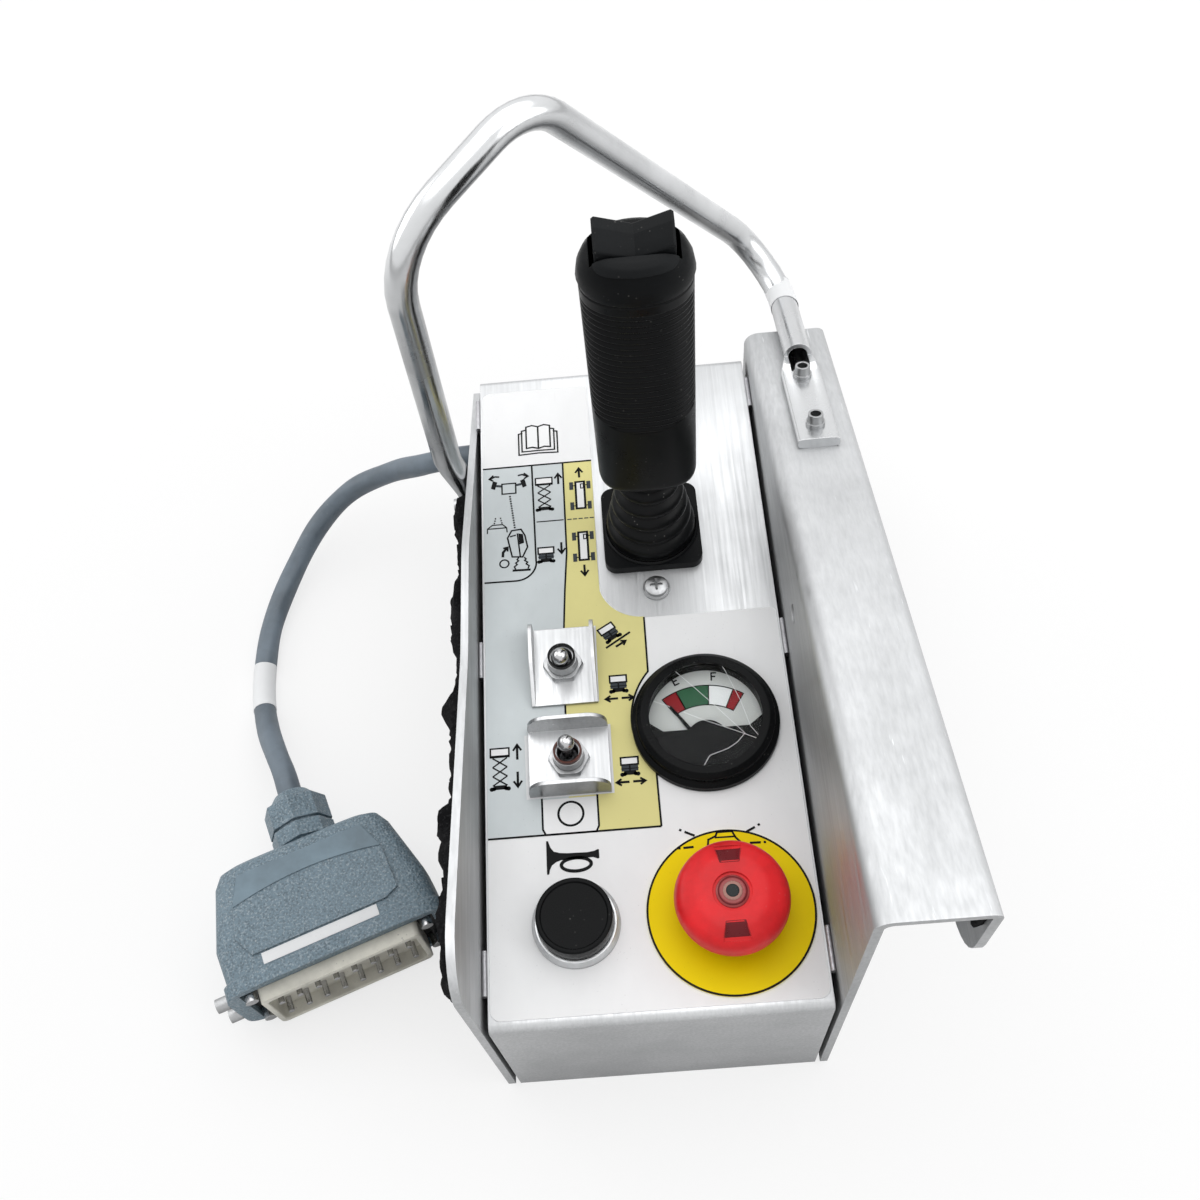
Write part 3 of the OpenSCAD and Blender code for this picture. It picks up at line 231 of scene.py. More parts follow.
def make_scratches():
    """Long fine lines, here and there."""
    tree, given, out = effect("Scratches", "Mask", Stretch=(1500, 18, 300), Amount=0.5)
    lines = remap(tree, surface_noise(tree, given["Stretch"], 2.0), 0.68, 0.74)
    where = remap(tree, surface_noise(tree, (22, 31, 27), 3.0), 0.45, 0.62)
    return masked(tree, out, lines, where, given["Amount"])


def make_edge_wear():
    """Bright where the surface turns over an edge, broken up by noise."""
    tree, given, out = effect("Edge wear", "Mask", Radius=0.0006, Amount=0.6)
    flat = add(tree, "ShaderNodeNewGeometry").outputs["Normal"]
    same = add(tree, "ShaderNodeVectorMath", {
        0: rounded_normal(tree, given["Radius"]), 1: flat}, operation="DOT_PRODUCT")
    edge = remap(tree, same.outputs["Value"], 0.985, 0.90)
    broken = remap(tree, surface_noise(tree, (260, 260, 260)), 0.38, 0.6)
    return masked(tree, out, edge, broken, given["Amount"])


def make_specks():
    """Dust and small chips."""
    tree, given, out = effect("Specks", "Mask", Scale=500.0, Amount=0.3)
    cells = add(tree, "ShaderNodeTexVoronoi", {
        "Vector": object_place(tree), "Scale": given["Scale"], "Randomness": 1.0}, feature="F1")
    dots = remap(tree, cells.outputs["Distance"], 0.16, 0.08)
    few = remap(tree, surface_noise(tree, (90, 90, 90), 3.0), 0.52, 0.62)
    return masked(tree, out, dots, few, given["Amount"])


def make_upward():
    """How far the surface faces up, from -1 to 1."""
    tree, _, out = effect("Facing up", "Up")
    normal = add(tree, "ShaderNodeNewGeometry").outputs["Normal"]
    feed(tree, out, add(tree, "ShaderNodeSeparateXYZ", {"Vector": normal}).outputs["Z"])
    return tree


EFFECTS = {}


def use(tree, maker, **inputs):
    """Places a shared effect in a material and returns its result."""
    if maker not in EFFECTS:
        EFFECTS[maker] = maker()
    return add(tree, "ShaderNodeGroup", inputs, node_tree=EFFECTS[maker]).outputs[0]


# Finishes
DUST, PALE_DUST = (0.35, 0.34, 0.32), (0.5, 0.5, 0.48)
HAMMERED_GLINT, HAMMERED_EDGE = (0.33, 0.39, 0.43), (0.36, 0.41, 0.45)

# Painted shade: how much of its colour metal keeps, by how far it faces up, so that its sides and
# undersides come out darker
SIDES_PAINTED_SHADE = ((-1.0, 0.5), (-0.2, 0.62), (0.3, 0.74), (0.75, 0.97), (1.0, 1.0))
# Painted reflections: the tube's colour by how far it faces up, with dark streaks along its sides and a
# bright top for the surroundings it mirrors
TUBE_PAINTED_REFLECTIONS = (
    (-1.0, 0.5), (-0.55, 0.62), (-0.32, 0.2), (-0.12, 0.3), (0.1, 0.66), (0.5, 0.9), (0.8, 1.0))


def tinted(value, factor):
    return tuple(min(1.0, channel * factor) for channel in value)


def blank(label):
    """A new material, its nodes and its shader."""
    made = bpy.data.materials.new(label)
    made.use_nodes = True
    return made, made.node_tree, made.node_tree.nodes["Principled BSDF"]


def surface(tree, shader, ground, rough, height, depth, rounded=0.0004, gloss=0.5):
    """Feeds a shader its colour and roughness, and a bump over softly rounded edges."""
    bump = add(tree, "ShaderNodeBump", {
        "Height": height, "Distance": depth, "Normal": rounded_normal(tree, rounded)})
    feed(tree, shader.inputs["Base Color"], ground)
    feed(tree, shader.inputs["Roughness"], rough)
    feed(tree, shader.inputs["Normal"], bump.outputs["Normal"])
    shader.inputs["Specular IOR Level"].default_value = gloss


def metal(label, value, stretch, roughness, depth=0.00004, scratched=0.5, worn=0.3, dark=0.82,
          painted_shade=SIDES_PAINTED_SHADE):
    """Bare or plated metal: grain along one way, blotches, scratches, painted shade on its sides and
    undersides, and bright edges.
    """
    made, tree, shader = blank(label)
    grain = use(tree, make_grain, Stretch=stretch)
    blotch = use(tree, make_blotches, Stretch=(16, 11, 14))
    lines = use(tree, make_scratches, Stretch=(stretch[0] * 1.4, stretch[1] * 1.2, 260), Amount=scratched)
    edge = use(tree, make_edge_wear, Radius=0.0007, Amount=worn)
    ground = layered(
        tree, tinted(value, dark), (blotch, tinted(value, 1.08)),
        (remap(tree, grain, 0.3, 0.7, 0.0, 0.35), tinted(value, 0.7)),
        (lines, tinted(value, 1.3)), (edge, tinted(value, 1.35)))
    # Painted shade: the colour is darkened where the surface faces away from up
    ramp = add(tree, "ShaderNodeValToRGB", {"Fac": remap(tree, use(tree, make_upward), -1, 1)})
    stops = ramp.color_ramp.elements
    for up, _ in painted_shade[1:-1]:
        stops.new((up + 1) / 2)
    for stop, (up, kept) in zip(stops, painted_shade):
        stop.position, stop.color = (up + 1) / 2, (kept, kept, kept, 1)
    ground = mix(tree, 1.0, ground, ramp.outputs["Color"], "MULTIPLY")
    rough = combine(
        tree, "ADD", remap(tree, grain, 0.3, 0.7, roughness - 0.07, roughness + 0.1),
        remap(tree, blotch, 0, 1, 0.07, -0.04))
    shader.inputs["Metallic"].default_value = 1.0
    surface(tree, shader, ground, rough, combine(tree, "SUBTRACT", grain, lines), depth)
    return made


def plastic(label, value, roughness, grain=1800, depth=0.00003, worn=0.25, dusty=0.2, gloss=0.4,
            rounded=0.0004):
    """Moulded plastic or rubber: fine texture, handled patches, dust and rubbed edges."""
    made, tree, shader = blank(label)
    fine = use(tree, make_grain, Stretch=grain if isinstance(grain, tuple) else (grain, grain, grain))
    patch = use(tree, make_blotches, Stretch=(45, 45, 45))
    dust = use(tree, make_specks, Scale=420.0, Amount=dusty)
    edge = use(tree, make_edge_wear, Radius=0.0006, Amount=worn)
    pale = tuple(channel * 2.5 + 0.012 for channel in value)
    ground = layered(
        tree, tinted(value, 0.85), (patch, tinted(value, 1.25)), (edge, pale), (dust, DUST))
    rough = combine(
        tree, "ADD", remap(tree, fine, 0.3, 0.7, roughness - 0.04, roughness + 0.06),
        remap(tree, patch, 0, 1, -0.05, 0.07))
    surface(tree, shader, ground, rough, fine, depth, rounded, gloss)
    return made


def film(label, value, roughness=0.42, shade=0.94):
    """Printed film: smooth, with handling marks and grime."""
    made, tree, shader = blank(label)
    patch = use(tree, make_blotches, Stretch=(14, 9, 14))
    dust = use(tree, make_specks, Scale=650.0, Amount=0.25)
    lines = use(tree, make_scratches, Stretch=(900, 60, 300), Amount=0.3)
    fine = use(tree, make_grain, Stretch=(700, 700, 700))
    ground = layered(
        tree, tinted(value, shade), (patch, tinted(value, 1.03)), (dust, tinted(value, 0.45)),
        (lines, tinted(value, 0.85)))
    rough = remap(tree, patch, 0, 1, roughness + 0.06, roughness - 0.06)
    surface(tree, shader, ground, rough, fine, 0.000012, 0.0002, gloss=0.1)
    return made


def hammered(label, value):
    """Hammer finish paint: small rounded pools with pale glints and worn edges."""
    made, tree, shader = blank(label)
    cells = add(tree, "ShaderNodeTexVoronoi", {
        "Vector": object_place(tree), "Scale": 900.0, "Smoothness": 0.4},
        feature="SMOOTH_F1").outputs["Distance"]
    glints = use(tree, make_grain, Stretch=(1150, 1150, 1150))
    patch = use(tree, make_blotches, Stretch=(60, 60, 60))
    edge = use(tree, make_edge_wear, Radius=0.0009, Amount=0.55)
    dust = use(tree, make_specks, Scale=300.0, Amount=0.35)
    ground = layered(
        tree, tinted(value, 0.85), (patch, tinted(value, 1.15)),
        (remap(tree, cells, 0.25, 0.6, 0, 0.5), tinted(value, 1.8)),
        (remap(tree, glints, 0.53, 0.63, 0, 0.72), HAMMERED_GLINT), (edge, HAMMERED_EDGE),
        (dust, PALE_DUST))
    rough = remap(tree, cells, 0.2, 0.6, 0.34, 0.5)
    surface(tree, shader, ground, rough, cells, 0.0003, 0.0007, gloss=0.35)
    return made


def glass(label):
    """Clear cover with smears."""
    made, tree, shader = blank(label)
    smear = use(tree, make_blotches, Stretch=(60, 60, 60), Low=0.02, High=0.12)
    for name, value in (("Roughness", smear), ("Base Color", (0.97, 0.985, 0.98)),
                        ("Transmission Weight", 1.0), ("IOR", 1.1)):
        feed(tree, shader.inputs[name], value)
    return made


def foam(label):
    """Open foam: coarse pores over a soft torn surface."""
    made, tree, shader = blank(label)
    pores = use(tree, make_grain, Stretch=(950, 950, 950))
    patch = use(tree, make_blotches, Stretch=(70, 70, 70))
    ground = layered(
        tree, (0.003, 0.003, 0.0035), (patch, (0.012, 0.012, 0.013)),
        (remap(tree, pores, 0.52, 0.75), (0.03, 0.03, 0.032)))
    rough = remap(tree, pores, 0.3, 0.7, 0.8, 0.98)
    surface(tree, shader, ground, rough, pores, 0.0005, 0.0003, gloss=0.08)
    return made


def make_finishes(c):
    """Every finish of the box by its name, in the scene's colours."""
    return {
        "sheet": metal("Brushed cover", c.sheet, (950, 22, 900), 0.44, 0.00003, 0.3, dark=0.86),
        "plate": metal(
            "Plated side plate", tinted(c.sheet, 1.02), (700, 22, 500), 0.52, 0.00003, 0.7, dark=0.86),
        # Plated tube, with painted dark reflections along its sides
        "tube": metal(
            "Plated tube", tinted(c.sheet, 1.2), (60, 60, 60), 0.2, 0.000006, 0.25, 0.2, 0.9,
            TUBE_PAINTED_REFLECTIONS),
        "hardware": metal(
            "Zinc hardware", tinted(c.sheet, 0.85), (900, 900, 900), 0.3, scratched=0.3, dark=0.75),
        "guard": metal("Folded guard", tinted(c.sheet, 1.02), (900, 24, 700), 0.32),
        "ring": metal("Turned ring", tinted(c.sheet, 1.1), (500, 500, 500), 0.36, scratched=0.3),
        "chrome": metal("Polished lever", (0.6, 0.6, 0.61), (700, 700, 700), 0.16, 0.00001, 0.25, 0.1),
        "weld": metal("Weld", (0.5, 0.5, 0.52), (500, 500, 500), 0.42, 0.0003, 0.2, 0.2, 0.6),
        "film": film("Printed film", c.film),
        "shade": film("Grey print", c.shade, shade=0.86),
        "drive": film("Yellow print", c.drive, shade=0.9),
        "ink": film("Ink", c.ink, 0.5, 0.8),
        "faded": film("Faded ink", (0.055, 0.065, 0.075), 0.5, 0.8),
        "red print": film("Red print", (0.30, 0.02, 0.025), 0.5, 0.8),
        "green print": film("Green print", (0.035, 0.115, 0.06), 0.5, 0.9),
        "label": film("Bare label", (0.82, 0.83, 0.84), 0.45, 0.92),
        "dial": film("Dial", (0.60, 0.61, 0.60), 0.5, 0.86),
        "crack": film("Crack", (0.9, 0.92, 0.93), 0.3, 0.9),
        "stop plate": film("Stop plate", c.stop_plate, 0.45, 0.93),
        "black": plastic("Black plastic", c.black, 0.36, gloss=0.07),
        "grip": plastic(
            "Grip", tinted(c.black, 0.7), 0.32, depth=0.000004, worn=0.0, dusty=0.12, gloss=0.1,
            rounded=0.00005),
        "satin": plastic("Black bezel", tinted(c.black, 0.8), 0.28, depth=0.00001, worn=0.2, gloss=0.08),
        "soft": plastic("Soft key", tinted(c.black, 1.6), 0.46, 1300, worn=0.3, gloss=0.1),
        "rubber": plastic(
            "Gaiter rubber", tinted(c.black, 0.9), 0.34, (600, 600, 900), worn=0.1, dusty=0.3,
            gloss=0.13),
        "seal": plastic("Brown seal", (0.075, 0.018, 0.010), 0.4),
        "band": plastic("Smooth paint", tinted(c.hood, 1.35), 0.42, 700, 0.00002, 0.3),
        "barrel": plastic("Contact block", (0.02, 0.021, 0.022), 0.5, gloss=0.2),
        "terminal": plastic("Terminal strip", (0.55, 0.53, 0.45), 0.5),
        "knob": plastic("Stop button", c.stop_knob, 0.36, 500, 0.00001, 0.1, 0.1, gloss=0.3),
        "window": plastic("Dark window", (0.13, 0.006, 0.010), 0.3, worn=0.0, dusty=0.1, gloss=0.2),
        "lens": plastic("Clouded lens", (0.30, 0.045, 0.045), 0.2, 240, 0.0001, 0.0, 0.5),
        "lens ring": plastic("Lens ring", (0.34, 0.16, 0.13), 0.25, worn=0.0, dusty=0.5),
        "lens core": plastic("Lens core", (0.012, 0.016, 0.016), 0.2, worn=0.0, gloss=0.2),
        "jacket": plastic("Cable jacket", c.jacket, 0.42, 250, worn=0.0, dusty=0.3),
        "insert": plastic("Plug insert", c.insert, 0.4, 400, 0.00002, 0.2, 0.7),
        "hood": hammered("Hammered paint", c.hood),
        "foam": foam("Torn foam"),
        "glass": glass("Gauge glass"),
    }


FINISHES = {}


def finish(name):
    """A finish by its name. The first call makes them all."""
    if not FINISHES:
        FINISHES.update(make_finishes(colors()))
    return FINISHES[name]


# Objects and meshes
def new_object(name, data):
    """A new object, linked to the scene."""
    made = bpy.data.objects.new(name, data)
    bpy.context.scene.collection.objects.link(made)
    return made


def smoothed(mesh, smooth=True):
    mesh.polygons.foreach_set("use_smooth", [smooth] * len(mesh.polygons))
    return mesh


def shaped(name, skin_parts, finish_name, smooth=True):
    """A new object from vertices and faces, with its finish and slot."""
    verts, faces = skin_parts
    mesh = bpy.data.meshes.new(name)
    mesh.from_pydata([tuple(v) for v in verts], [], faces)
    mesh.validate()
    mesh.materials.append(finish(finish_name))
    made = new_object(name, smoothed(mesh, smooth))
    return made


def piece(name, skin_parts, finish_name, body="box", smooth=True):
    """The same, riding on its body."""
    made = shaped(name, skin_parts, finish_name, smooth)
    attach(made, body)
    return made


def skin(rings, capped=True, looped=False):
    """Vertices and faces through rings of equal point counts, capped, or looped round to the first."""
    n, count = len(rings[0]), len(rings)
    faces = [(i * n + j, i * n + (j + 1) % n, (i + 1) % count * n + (j + 1) % n, (i + 1) % count * n + j)
             for i in range(count if looped else count - 1) for j in range(n)]
    if capped:
        last = (count - 1) * n
        faces += [tuple(range(n - 1, -1, -1)), tuple(range(last, last + n))]
    return [p for ring in rings for p in ring], faces


def crisp(made, angle=32.0):
    """Smooth shading that breaks at sharp edges."""
    split = made.modifiers.new("Crisp edges", "EDGE_SPLIT")
    split.split_angle = math.radians(angle)
    split.use_edge_sharp = False
    return made


def joined(made):
    """Joins points that lie on each other."""
    made.modifiers.new("Joined faces", "WELD").merge_threshold = MM / 200


def thicken(made, thick, offset=1.0):
    """Gives a surface a thickness in mm, to its front, or with -1 to its back."""
    solid = made.modifiers.new("Thickness", "SOLIDIFY")
    solid.thickness, solid.offset = thick * MM, offset
    return made


def dress(finish_name, *nodes, angle=28.0):
    """Gives CAD nodes their finish and even shading."""
    for name in nodes:
        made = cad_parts[name]
        for slot in made.material_slots:
            slot.material = finish(finish_name)
        if "custom_normal" in made.data.attributes:
            made.data.attributes.remove(made.data.attributes["custom_normal"])
        smoothed(made.data)
        joined(made)
        crisp(made, angle)


def curve_through(points, steps):
    """Smooth path through points, with so many steps between each two."""
    p = [Vector(v) for v in points]
    p = [2 * p[0] - p[1]] + p + [2 * p[-1] - p[-2]]
    path = []
    for i in range(1, len(p) - 2):
        a, b, c, d = p[i - 1:i + 3]
        for k in range(steps):
            t = k / steps
            path.append(0.5 * (2 * b + (c - a) * t + (2 * a - 5 * b + 4 * c - d) * t * t
                               + (3 * b - a - 3 * c + d) * t ** 3))
    return path + [p[-2]]


def tube_rings(path, radius, sides=48, wave=None):
    """Rings square to a path, carried along it without twist. wave(angle, run) scales the radius."""
    last = len(path) - 1
    ways = [(path[min(i + 1, last)] - path[max(i - 1, 0)]).normalized() for i in range(len(path))]
    side = ways[0].orthogonal().normalized()
    rings, run = [], 0.0
    for i, (point, way) in enumerate(zip(path, ways)):
        side = (side - way * side.dot(way)).normalized()
        up = way.cross(side)
        run += (point - path[i - 1]).length if i else 0.0
        ring = []
        for k in range(sides):
            angle = 2 * math.pi * k / sides
            r = radius * (wave(angle, run) if wave else 1.0)
            ring.append(point + (side * math.cos(angle) + up * math.sin(angle)) * r)
        rings.append(ring)
    return rings


def turned(profile, centre, sides):
    """Rings of a profile of (radius, height) in mm, turned about a vertical line through centre."""
    turns = [2 * math.pi * k / sides for k in range(sides)]
    return [[centre + Vector((max(r, 0.001) * math.cos(a), max(r, 0.001) * math.sin(a), z)) * MM
             for a in turns] for r, z in profile]


def arc(x, y, r, start, end, steps=24):
    """Points on a circle from one angle to another, in degrees."""
    angles = [math.radians(start + (end - start) * k / steps) for k in range(steps + 1)]
    return [(x + r * math.cos(a), y + r * math.sin(a)) for a in angles]


def circle(x, y, r, steps):
    return arc(x, y, r, 0, 360, steps)[:-1]


class Print:
    """Flat shapes in one ink, drawn in mm from a movable origin on the panel."""

    def __init__(self, name, finish_name):
        self.name, self.finish_name = name, finish_name
        self.verts, self.faces = [], []
        self.at()

    def at(self, x=0.0, y=0.0, angle=0.0):
        """Moves the origin, and turns what follows by an angle in degrees."""
        self.x, self.y, self.angle = x, y, math.radians(angle)
        return self

    def fill(self, points):
        area = sum(a[0] * b[1] - b[0] * a[1] for a, b in zip(points, points[1:] + points[:1]))
        points = points if area > 0 else points[::-1]
        c, s = math.cos(self.angle), math.sin(self.angle)
        start = len(self.verts)
        self.verts += [(self.x + x * c - y * s, self.y + x * s + y * c) for x, y in points]
        self.faces.append(tuple(range(start, start + len(points))))
        return self

    def box(self, x, y, w, h):
        return self.fill([(x, y), (x + w, y), (x + w, y + h), (x, y + h)])

    def disc(self, x, y, r):
        return self.fill(circle(x, y, r, 20))

    def line(self, points, width=None, closed=False):
        """A band along points with mitred corners."""
        half = (width or sizes().line_w / MM) * sizes().bold / 2
        p = [Vector(v) for v in points]
        n = len(p)
        left, right = [], []
        for i in range(n):
            before = p[i] - p[i - 1] if closed or i else p[1] - p[0]
            after = p[(i + 1) % n] - p[i] if closed or i < n - 1 else p[-1] - p[-2]
            a, b = before.normalized(), after.normalized()
            normal = Vector((-a.y - b.y, a.x + b.x)).normalized()
            reach = half / max(0.4, normal.dot(Vector((-a.y, a.x))))
            left.append(tuple(p[i] + normal * reach))
            right.append(tuple(p[i] - normal * reach))
        for i in range(n if closed else n - 1):
            k = (i + 1) % n
            self.fill([right[i], right[k], left[k], left[i]])
        return self

    def outline(self, x, y, w, h, width=0.5):
        return self.line([(x, y), (x + w, y), (x + w, y + h), (x, y + h)], width, closed=True)

    def arrow(self, x, y, dx, dy, head=1.6, width=0.75):
        """A straight arrow with an open head."""
        way = Vector((dx, dy)).normalized()
        side = Vector((-way.y, way.x))
        tip = Vector((x + dx, y + dy))
        self.line([(x, y), tuple(tip - way * width / 2)], width)
        barbs = [tip - way * head * 1.5 + side * head, tip, tip - way * head * 1.5 - side * head]
        return self.line([tuple(v) for v in barbs], width * 0.85)

    def lay(self, ground, lift, slot="overlay", thick=0.04):
        """Makes the piece on a ground at a height in metres, lifted so many mm."""
        verts = [from_legend(x, y, ground + lift * MM) for x, y in self.verts]
        return thicken(piece(self.name, (verts, self.faces), self.finish_name, smooth=False), thick)


def draped(name, node, points, finish_name, body="box", lift=0.05, thick=0.08):
    """A thin patch laid from above on a CAD node, from rows of (x, y) in metres."""
    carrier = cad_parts[node]
    verts = []
    for row in points:
        for x, y in row:
            hit, place, _, _ = carrier.ray_cast(Vector((x, y, 1.0)), Vector((0, 0, -1)))
            verts.append((x, y, (place.z if hit else 0.0) + lift * MM))
    n = len(points[0])
    faces = [(i * n + j, i * n + j + 1, (i + 1) * n + j + 1, (i + 1) * n + j)
             for i in range(len(points) - 1) for j in range(n - 1)]
    return crisp(thicken(piece(name, (verts, faces), finish_name, body), thick), 40)


# Camera and studio
CAMERA_PLACE = (0.00395, -0.24444, 0.55068)
CAMERA_RIGHT = (0.99611894, -0.05675134, -0.06727811)
CAMERA_DOWN = (-0.08299742, -0.86009158, -0.50334273)
CAMERA_AHEAD = (-0.02929996, 0.50697313, -0.86146373)
SENSOR_WIDTH, NEAREST = 36.0, 0.01

# Each light's name, place, size in metres and power in watts, and the place that all aim at
LIGHTS = (
    ("Top light", (0.15, 0.35, 1.5), 2.2, 15.0), ("Right light", (1.3, -0.3, 0.8), 1.4, 7.0),
    ("Left light", (-1.2, 0.5, 0.7), 1.1, 4.0))
LIT_PLACE = Vector((0, 0, 0.08))
SKY_ON_OBJECT, SKY_SEEN = 0.55, 1.0

# The floor's half width, and how white the camera sees it from one distance to another
FLOOR_HALF, FLOOR_GREY = 30.0, (0.9, 0.9, 0.9)
FADE_FROM, FADE_TO, WHITE_NEAR, WHITE_FAR = 0.4, 2.2, 0.72, 1.0


class CONTROLBOX_OT_studio(bpy.types.Operator):
    """Camera, floor, world and soft lights"""

    bl_idname = "controlbox.studio"
    bl_label = "Studio"
    bl_options = {"REGISTER", "UNDO"}

    def execute(self, context):
        context.scene.view_settings.view_transform = "Standard"
        self.place_camera(context.scene)
        self.lay_floor()
        self.light_sky(context.scene)
        for name, place, size, power in LIGHTS:
            lamp = bpy.data.lights.new(name, "AREA")
            lamp.shape, lamp.size, lamp.energy = "DISK", size, power
            made = new_object(name, lamp)
            made.location = place
            made.rotation_euler = (Vector(place) - LIT_PLACE).to_track_quat("Z", "Y").to_euler()
        return {"FINISHED"}

    def place_camera(self, scene):
        lens = bpy.data.cameras.new("Camera")
        lens.lens, lens.sensor_width, lens.clip_start = sizes().view_l, SENSOR_WIDTH, NEAREST
        scene.camera = new_object("Camera", lens)
        axes = Matrix((CAMERA_RIGHT, [-v for v in CAMERA_DOWN], [-v for v in CAMERA_AHEAD])).transposed()
        scene.camera.matrix_world = Matrix.Translation(CAMERA_PLACE) @ axes.to_4x4()

    def lay_floor(self):
        """Pale paper that takes the shadows and fades to white with distance."""
        half = FLOOR_HALF
        mesh = bpy.data.meshes.new("Floor")
        mesh.from_pydata([(-half, -half, 0), (half, -half, 0), (half, half, 0), (-half, half, 0)], [],
                         [(0, 1, 2, 3)])
        new_object("Floor", mesh)
        paper, tree, shader = blank("Pale floor")
        for name, value in (("Base Color", FLOOR_GREY), ("Roughness", 0.9), ("Specular IOR Level", 0.0)):
            feed(tree, shader.inputs[name], value)
        seen = add(tree, "ShaderNodeLightPath").outputs["Is Camera Ray"]
        away = add(tree, "ShaderNodeVectorMath", {0: object_place(tree)}, operation="LENGTH")
        white = remap(tree, away.outputs["Value"], FADE_FROM, FADE_TO, WHITE_NEAR, WHITE_FAR)
        glow = add(tree, "ShaderNodeEmission", {"Color": (1, 1, 1), "Strength": 1.0})
        both = add(tree, "ShaderNodeMixShader", {
            0: combine(tree, "MULTIPLY", seen, white), 1: shader.outputs[0], 2: glow.outputs[0]})
        feed(tree, tree.nodes["Material Output"].inputs["Surface"], both.outputs[0])
        mesh.materials.append(paper)

    def light_sky(self, scene):
        """White where it is seen, mirrored or seen through, and dimmer as a light."""
        sky = scene.world or bpy.data.worlds.new("World")
        scene.world = sky
        sky.use_nodes = True
        tree = sky.node_tree
        path = add(tree, "ShaderNodeLightPath").outputs
        seen = path["Is Camera Ray"]
        for ray in ("Is Glossy Ray", "Is Transmission Ray"):
            seen = combine(tree, "MAXIMUM", seen, path[ray])
        light = tree.nodes["Background"].inputs
        feed(tree, light["Strength"], remap(tree, seen, 0, 1, SKY_ON_OBJECT, SKY_SEEN))
        feed(tree, light["Color"], (1, 1, 1))


# Plug: the middle of its mouth and its axis' height in mm, its turn in degrees, and its pieces
PLUG_ORIGIN_MM, PLUG_AXIS_Z, PLUG_TURN = (-129, -98.3), 21.5, 20.0

# Ends and edges of the raised panel on its top, as places back, and places back and across, in mm
PANEL_ENDS = (12.7, 47.4)
PANEL_LEFT = ((12.7, -30.8), (22.2, -35.9), (35.4, -33.0), (47.5, -28.2))
PANEL_RIGHT = ((12.7, 26.0), (15.6, 32.2), (34.8, 31.5), (47.5, 26.0))

# Smooth band arched across the panel: its line at the middle, how far that falls over a distance across
BAND_MIDDLE, BAND_FALL, BAND_REACH, BAND_Y = 38.8, 3.9, 33.0, 36.0

# Bare label on the hood: its left end, its length and its rows, in mm
PLUG_LABEL_LEFT, PLUG_LABEL_LENGTH, PLUG_LABEL_ROWS = -27.4, 49.1, (7.3, 9.0, 10.6, 12.1)

# Points across the panel, and rows along it and along its band
ACROSS, PANEL_ROWS, BAND_ROWS = 36, 24, 8

# Socket and ears in mm, and the socket's wall as (less of its size, place back)
SOCKET_W, EARS_W, MOUTH_T, EARS_BACK = 67.7, 81.5, 33.7, 13.6
SOCKET_WALL = ((0.0, 3.0), (0.0, -5.6), (0.8, -6.0), (4.0, -6.0), (4.6, -5.6), (5.0, 0.4))


def at_plug(x, y, z):
    """A place in the plug's own axes, in mm: x across, y from mouth to cable, z up."""
    turn = math.radians(PLUG_TURN)
    return Vector(((PLUG_ORIGIN_MM[0] + x * math.cos(turn) - y * math.sin(turn)) * MM,
                   (PLUG_ORIGIN_MM[1] + x * math.sin(turn) + y * math.cos(turn)) * MM, z * MM))


def plug_ring(w, t, y, corner=2.5):
    """A rounded rectangle square to the plug's axis, at a place back."""
    spots = []
    for x, z, start in ((w, t, 0), (-w, t, 90), (-w, -t, 180), (w, -t, 270)):
        cx, cz = x / 2 - math.copysign(corner, x), z / 2 - math.copysign(corner, z)
        spots += arc(cx, cz, corner, start, start + 90, 6)
    return [at_plug(x, y, z + PLUG_AXIS_Z) for x, z in spots]


def edge_at(edge, y):
    """Where an edge of the panel lies across, at a place back."""
    for (y0, x0), (y1, x1) in zip(edge, edge[1:]):
        if y <= y1:
            return x0 + (x1 - x0) * (y - y0) / (y1 - y0)
    return edge[-1][1]


def across_panel(y, share):
    """A place across the panel, as a share of the way from its left edge to its right."""
    left, right = edge_at(PANEL_LEFT, y), edge_at(PANEL_RIGHT, y)
    return left + (right - left) * share


class CONTROLBOX_OT_plug(bpy.types.Operator):
    """Rectangular plug: hammered hood and gland, raised panel, socket, pins and locking pegs"""

    bl_idname = "controlbox.plug"
    bl_label = "Plug"
    bl_options = {"REGISTER", "UNDO"}

    def execute(self, context):
        dress("hood", "plug_hood", "plug_gland")
        dress("chrome", "plug_pins")
        dress("hardware", "plug_pegs")
        front, back = PANEL_ENDS
        shares = [j / ACROSS for j in range(ACROSS + 1)]
        panel = [[(across_panel(y, s), y) for s in shares]
                 for y in (front + (back - front) * i / PANEL_ROWS for i in range(PANEL_ROWS + 1))]
        band = []
        for i in range(BAND_ROWS + 1):
            arch = [BAND_MIDDLE - BAND_FALL * (across_panel(BAND_Y, s) / BAND_REACH) ** 2 for s in shares]
            places = [y + (back - y) * i / BAND_ROWS for y in arch]
            band.append([(across_panel(y, s), y) for y, s in zip(places, shares)])
        label = [[(PLUG_LABEL_LEFT + PLUG_LABEL_LENGTH * s, y) for s in shares] for y in PLUG_LABEL_ROWS]
        for name, rows, finish_name, lift, thick, slot in (
                ("plug_panel", panel, "hood", 0.05, 0.85, "plug_paint"),
                ("plug_band", band, "band", 0.85, 0.5, "plug_paint"),
                ("plug_label", label, "label", 0.05, 0.15, "overlay")):
            laid = [[at_plug(x, y, 0).xy for x, y in row] for row in rows]
            draped(name, "plug_hood", laid, finish_name, lift=lift, thick=thick)
        walls = [plug_ring(SOCKET_W - less, MOUTH_T - less, y) for less, y in SOCKET_WALL]
        socket = piece("plug_socket", skin(walls), "insert")
        ears = [plug_ring(EARS_W, MOUTH_T, y) for y in (EARS_BACK, SOCKET_WALL[0][1])]
        for made in (socket, piece("plug_ears", skin(ears), "barrel")):
            crisp(made)
        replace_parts(socket, "plug_insert")
        return {"FINISHED"}


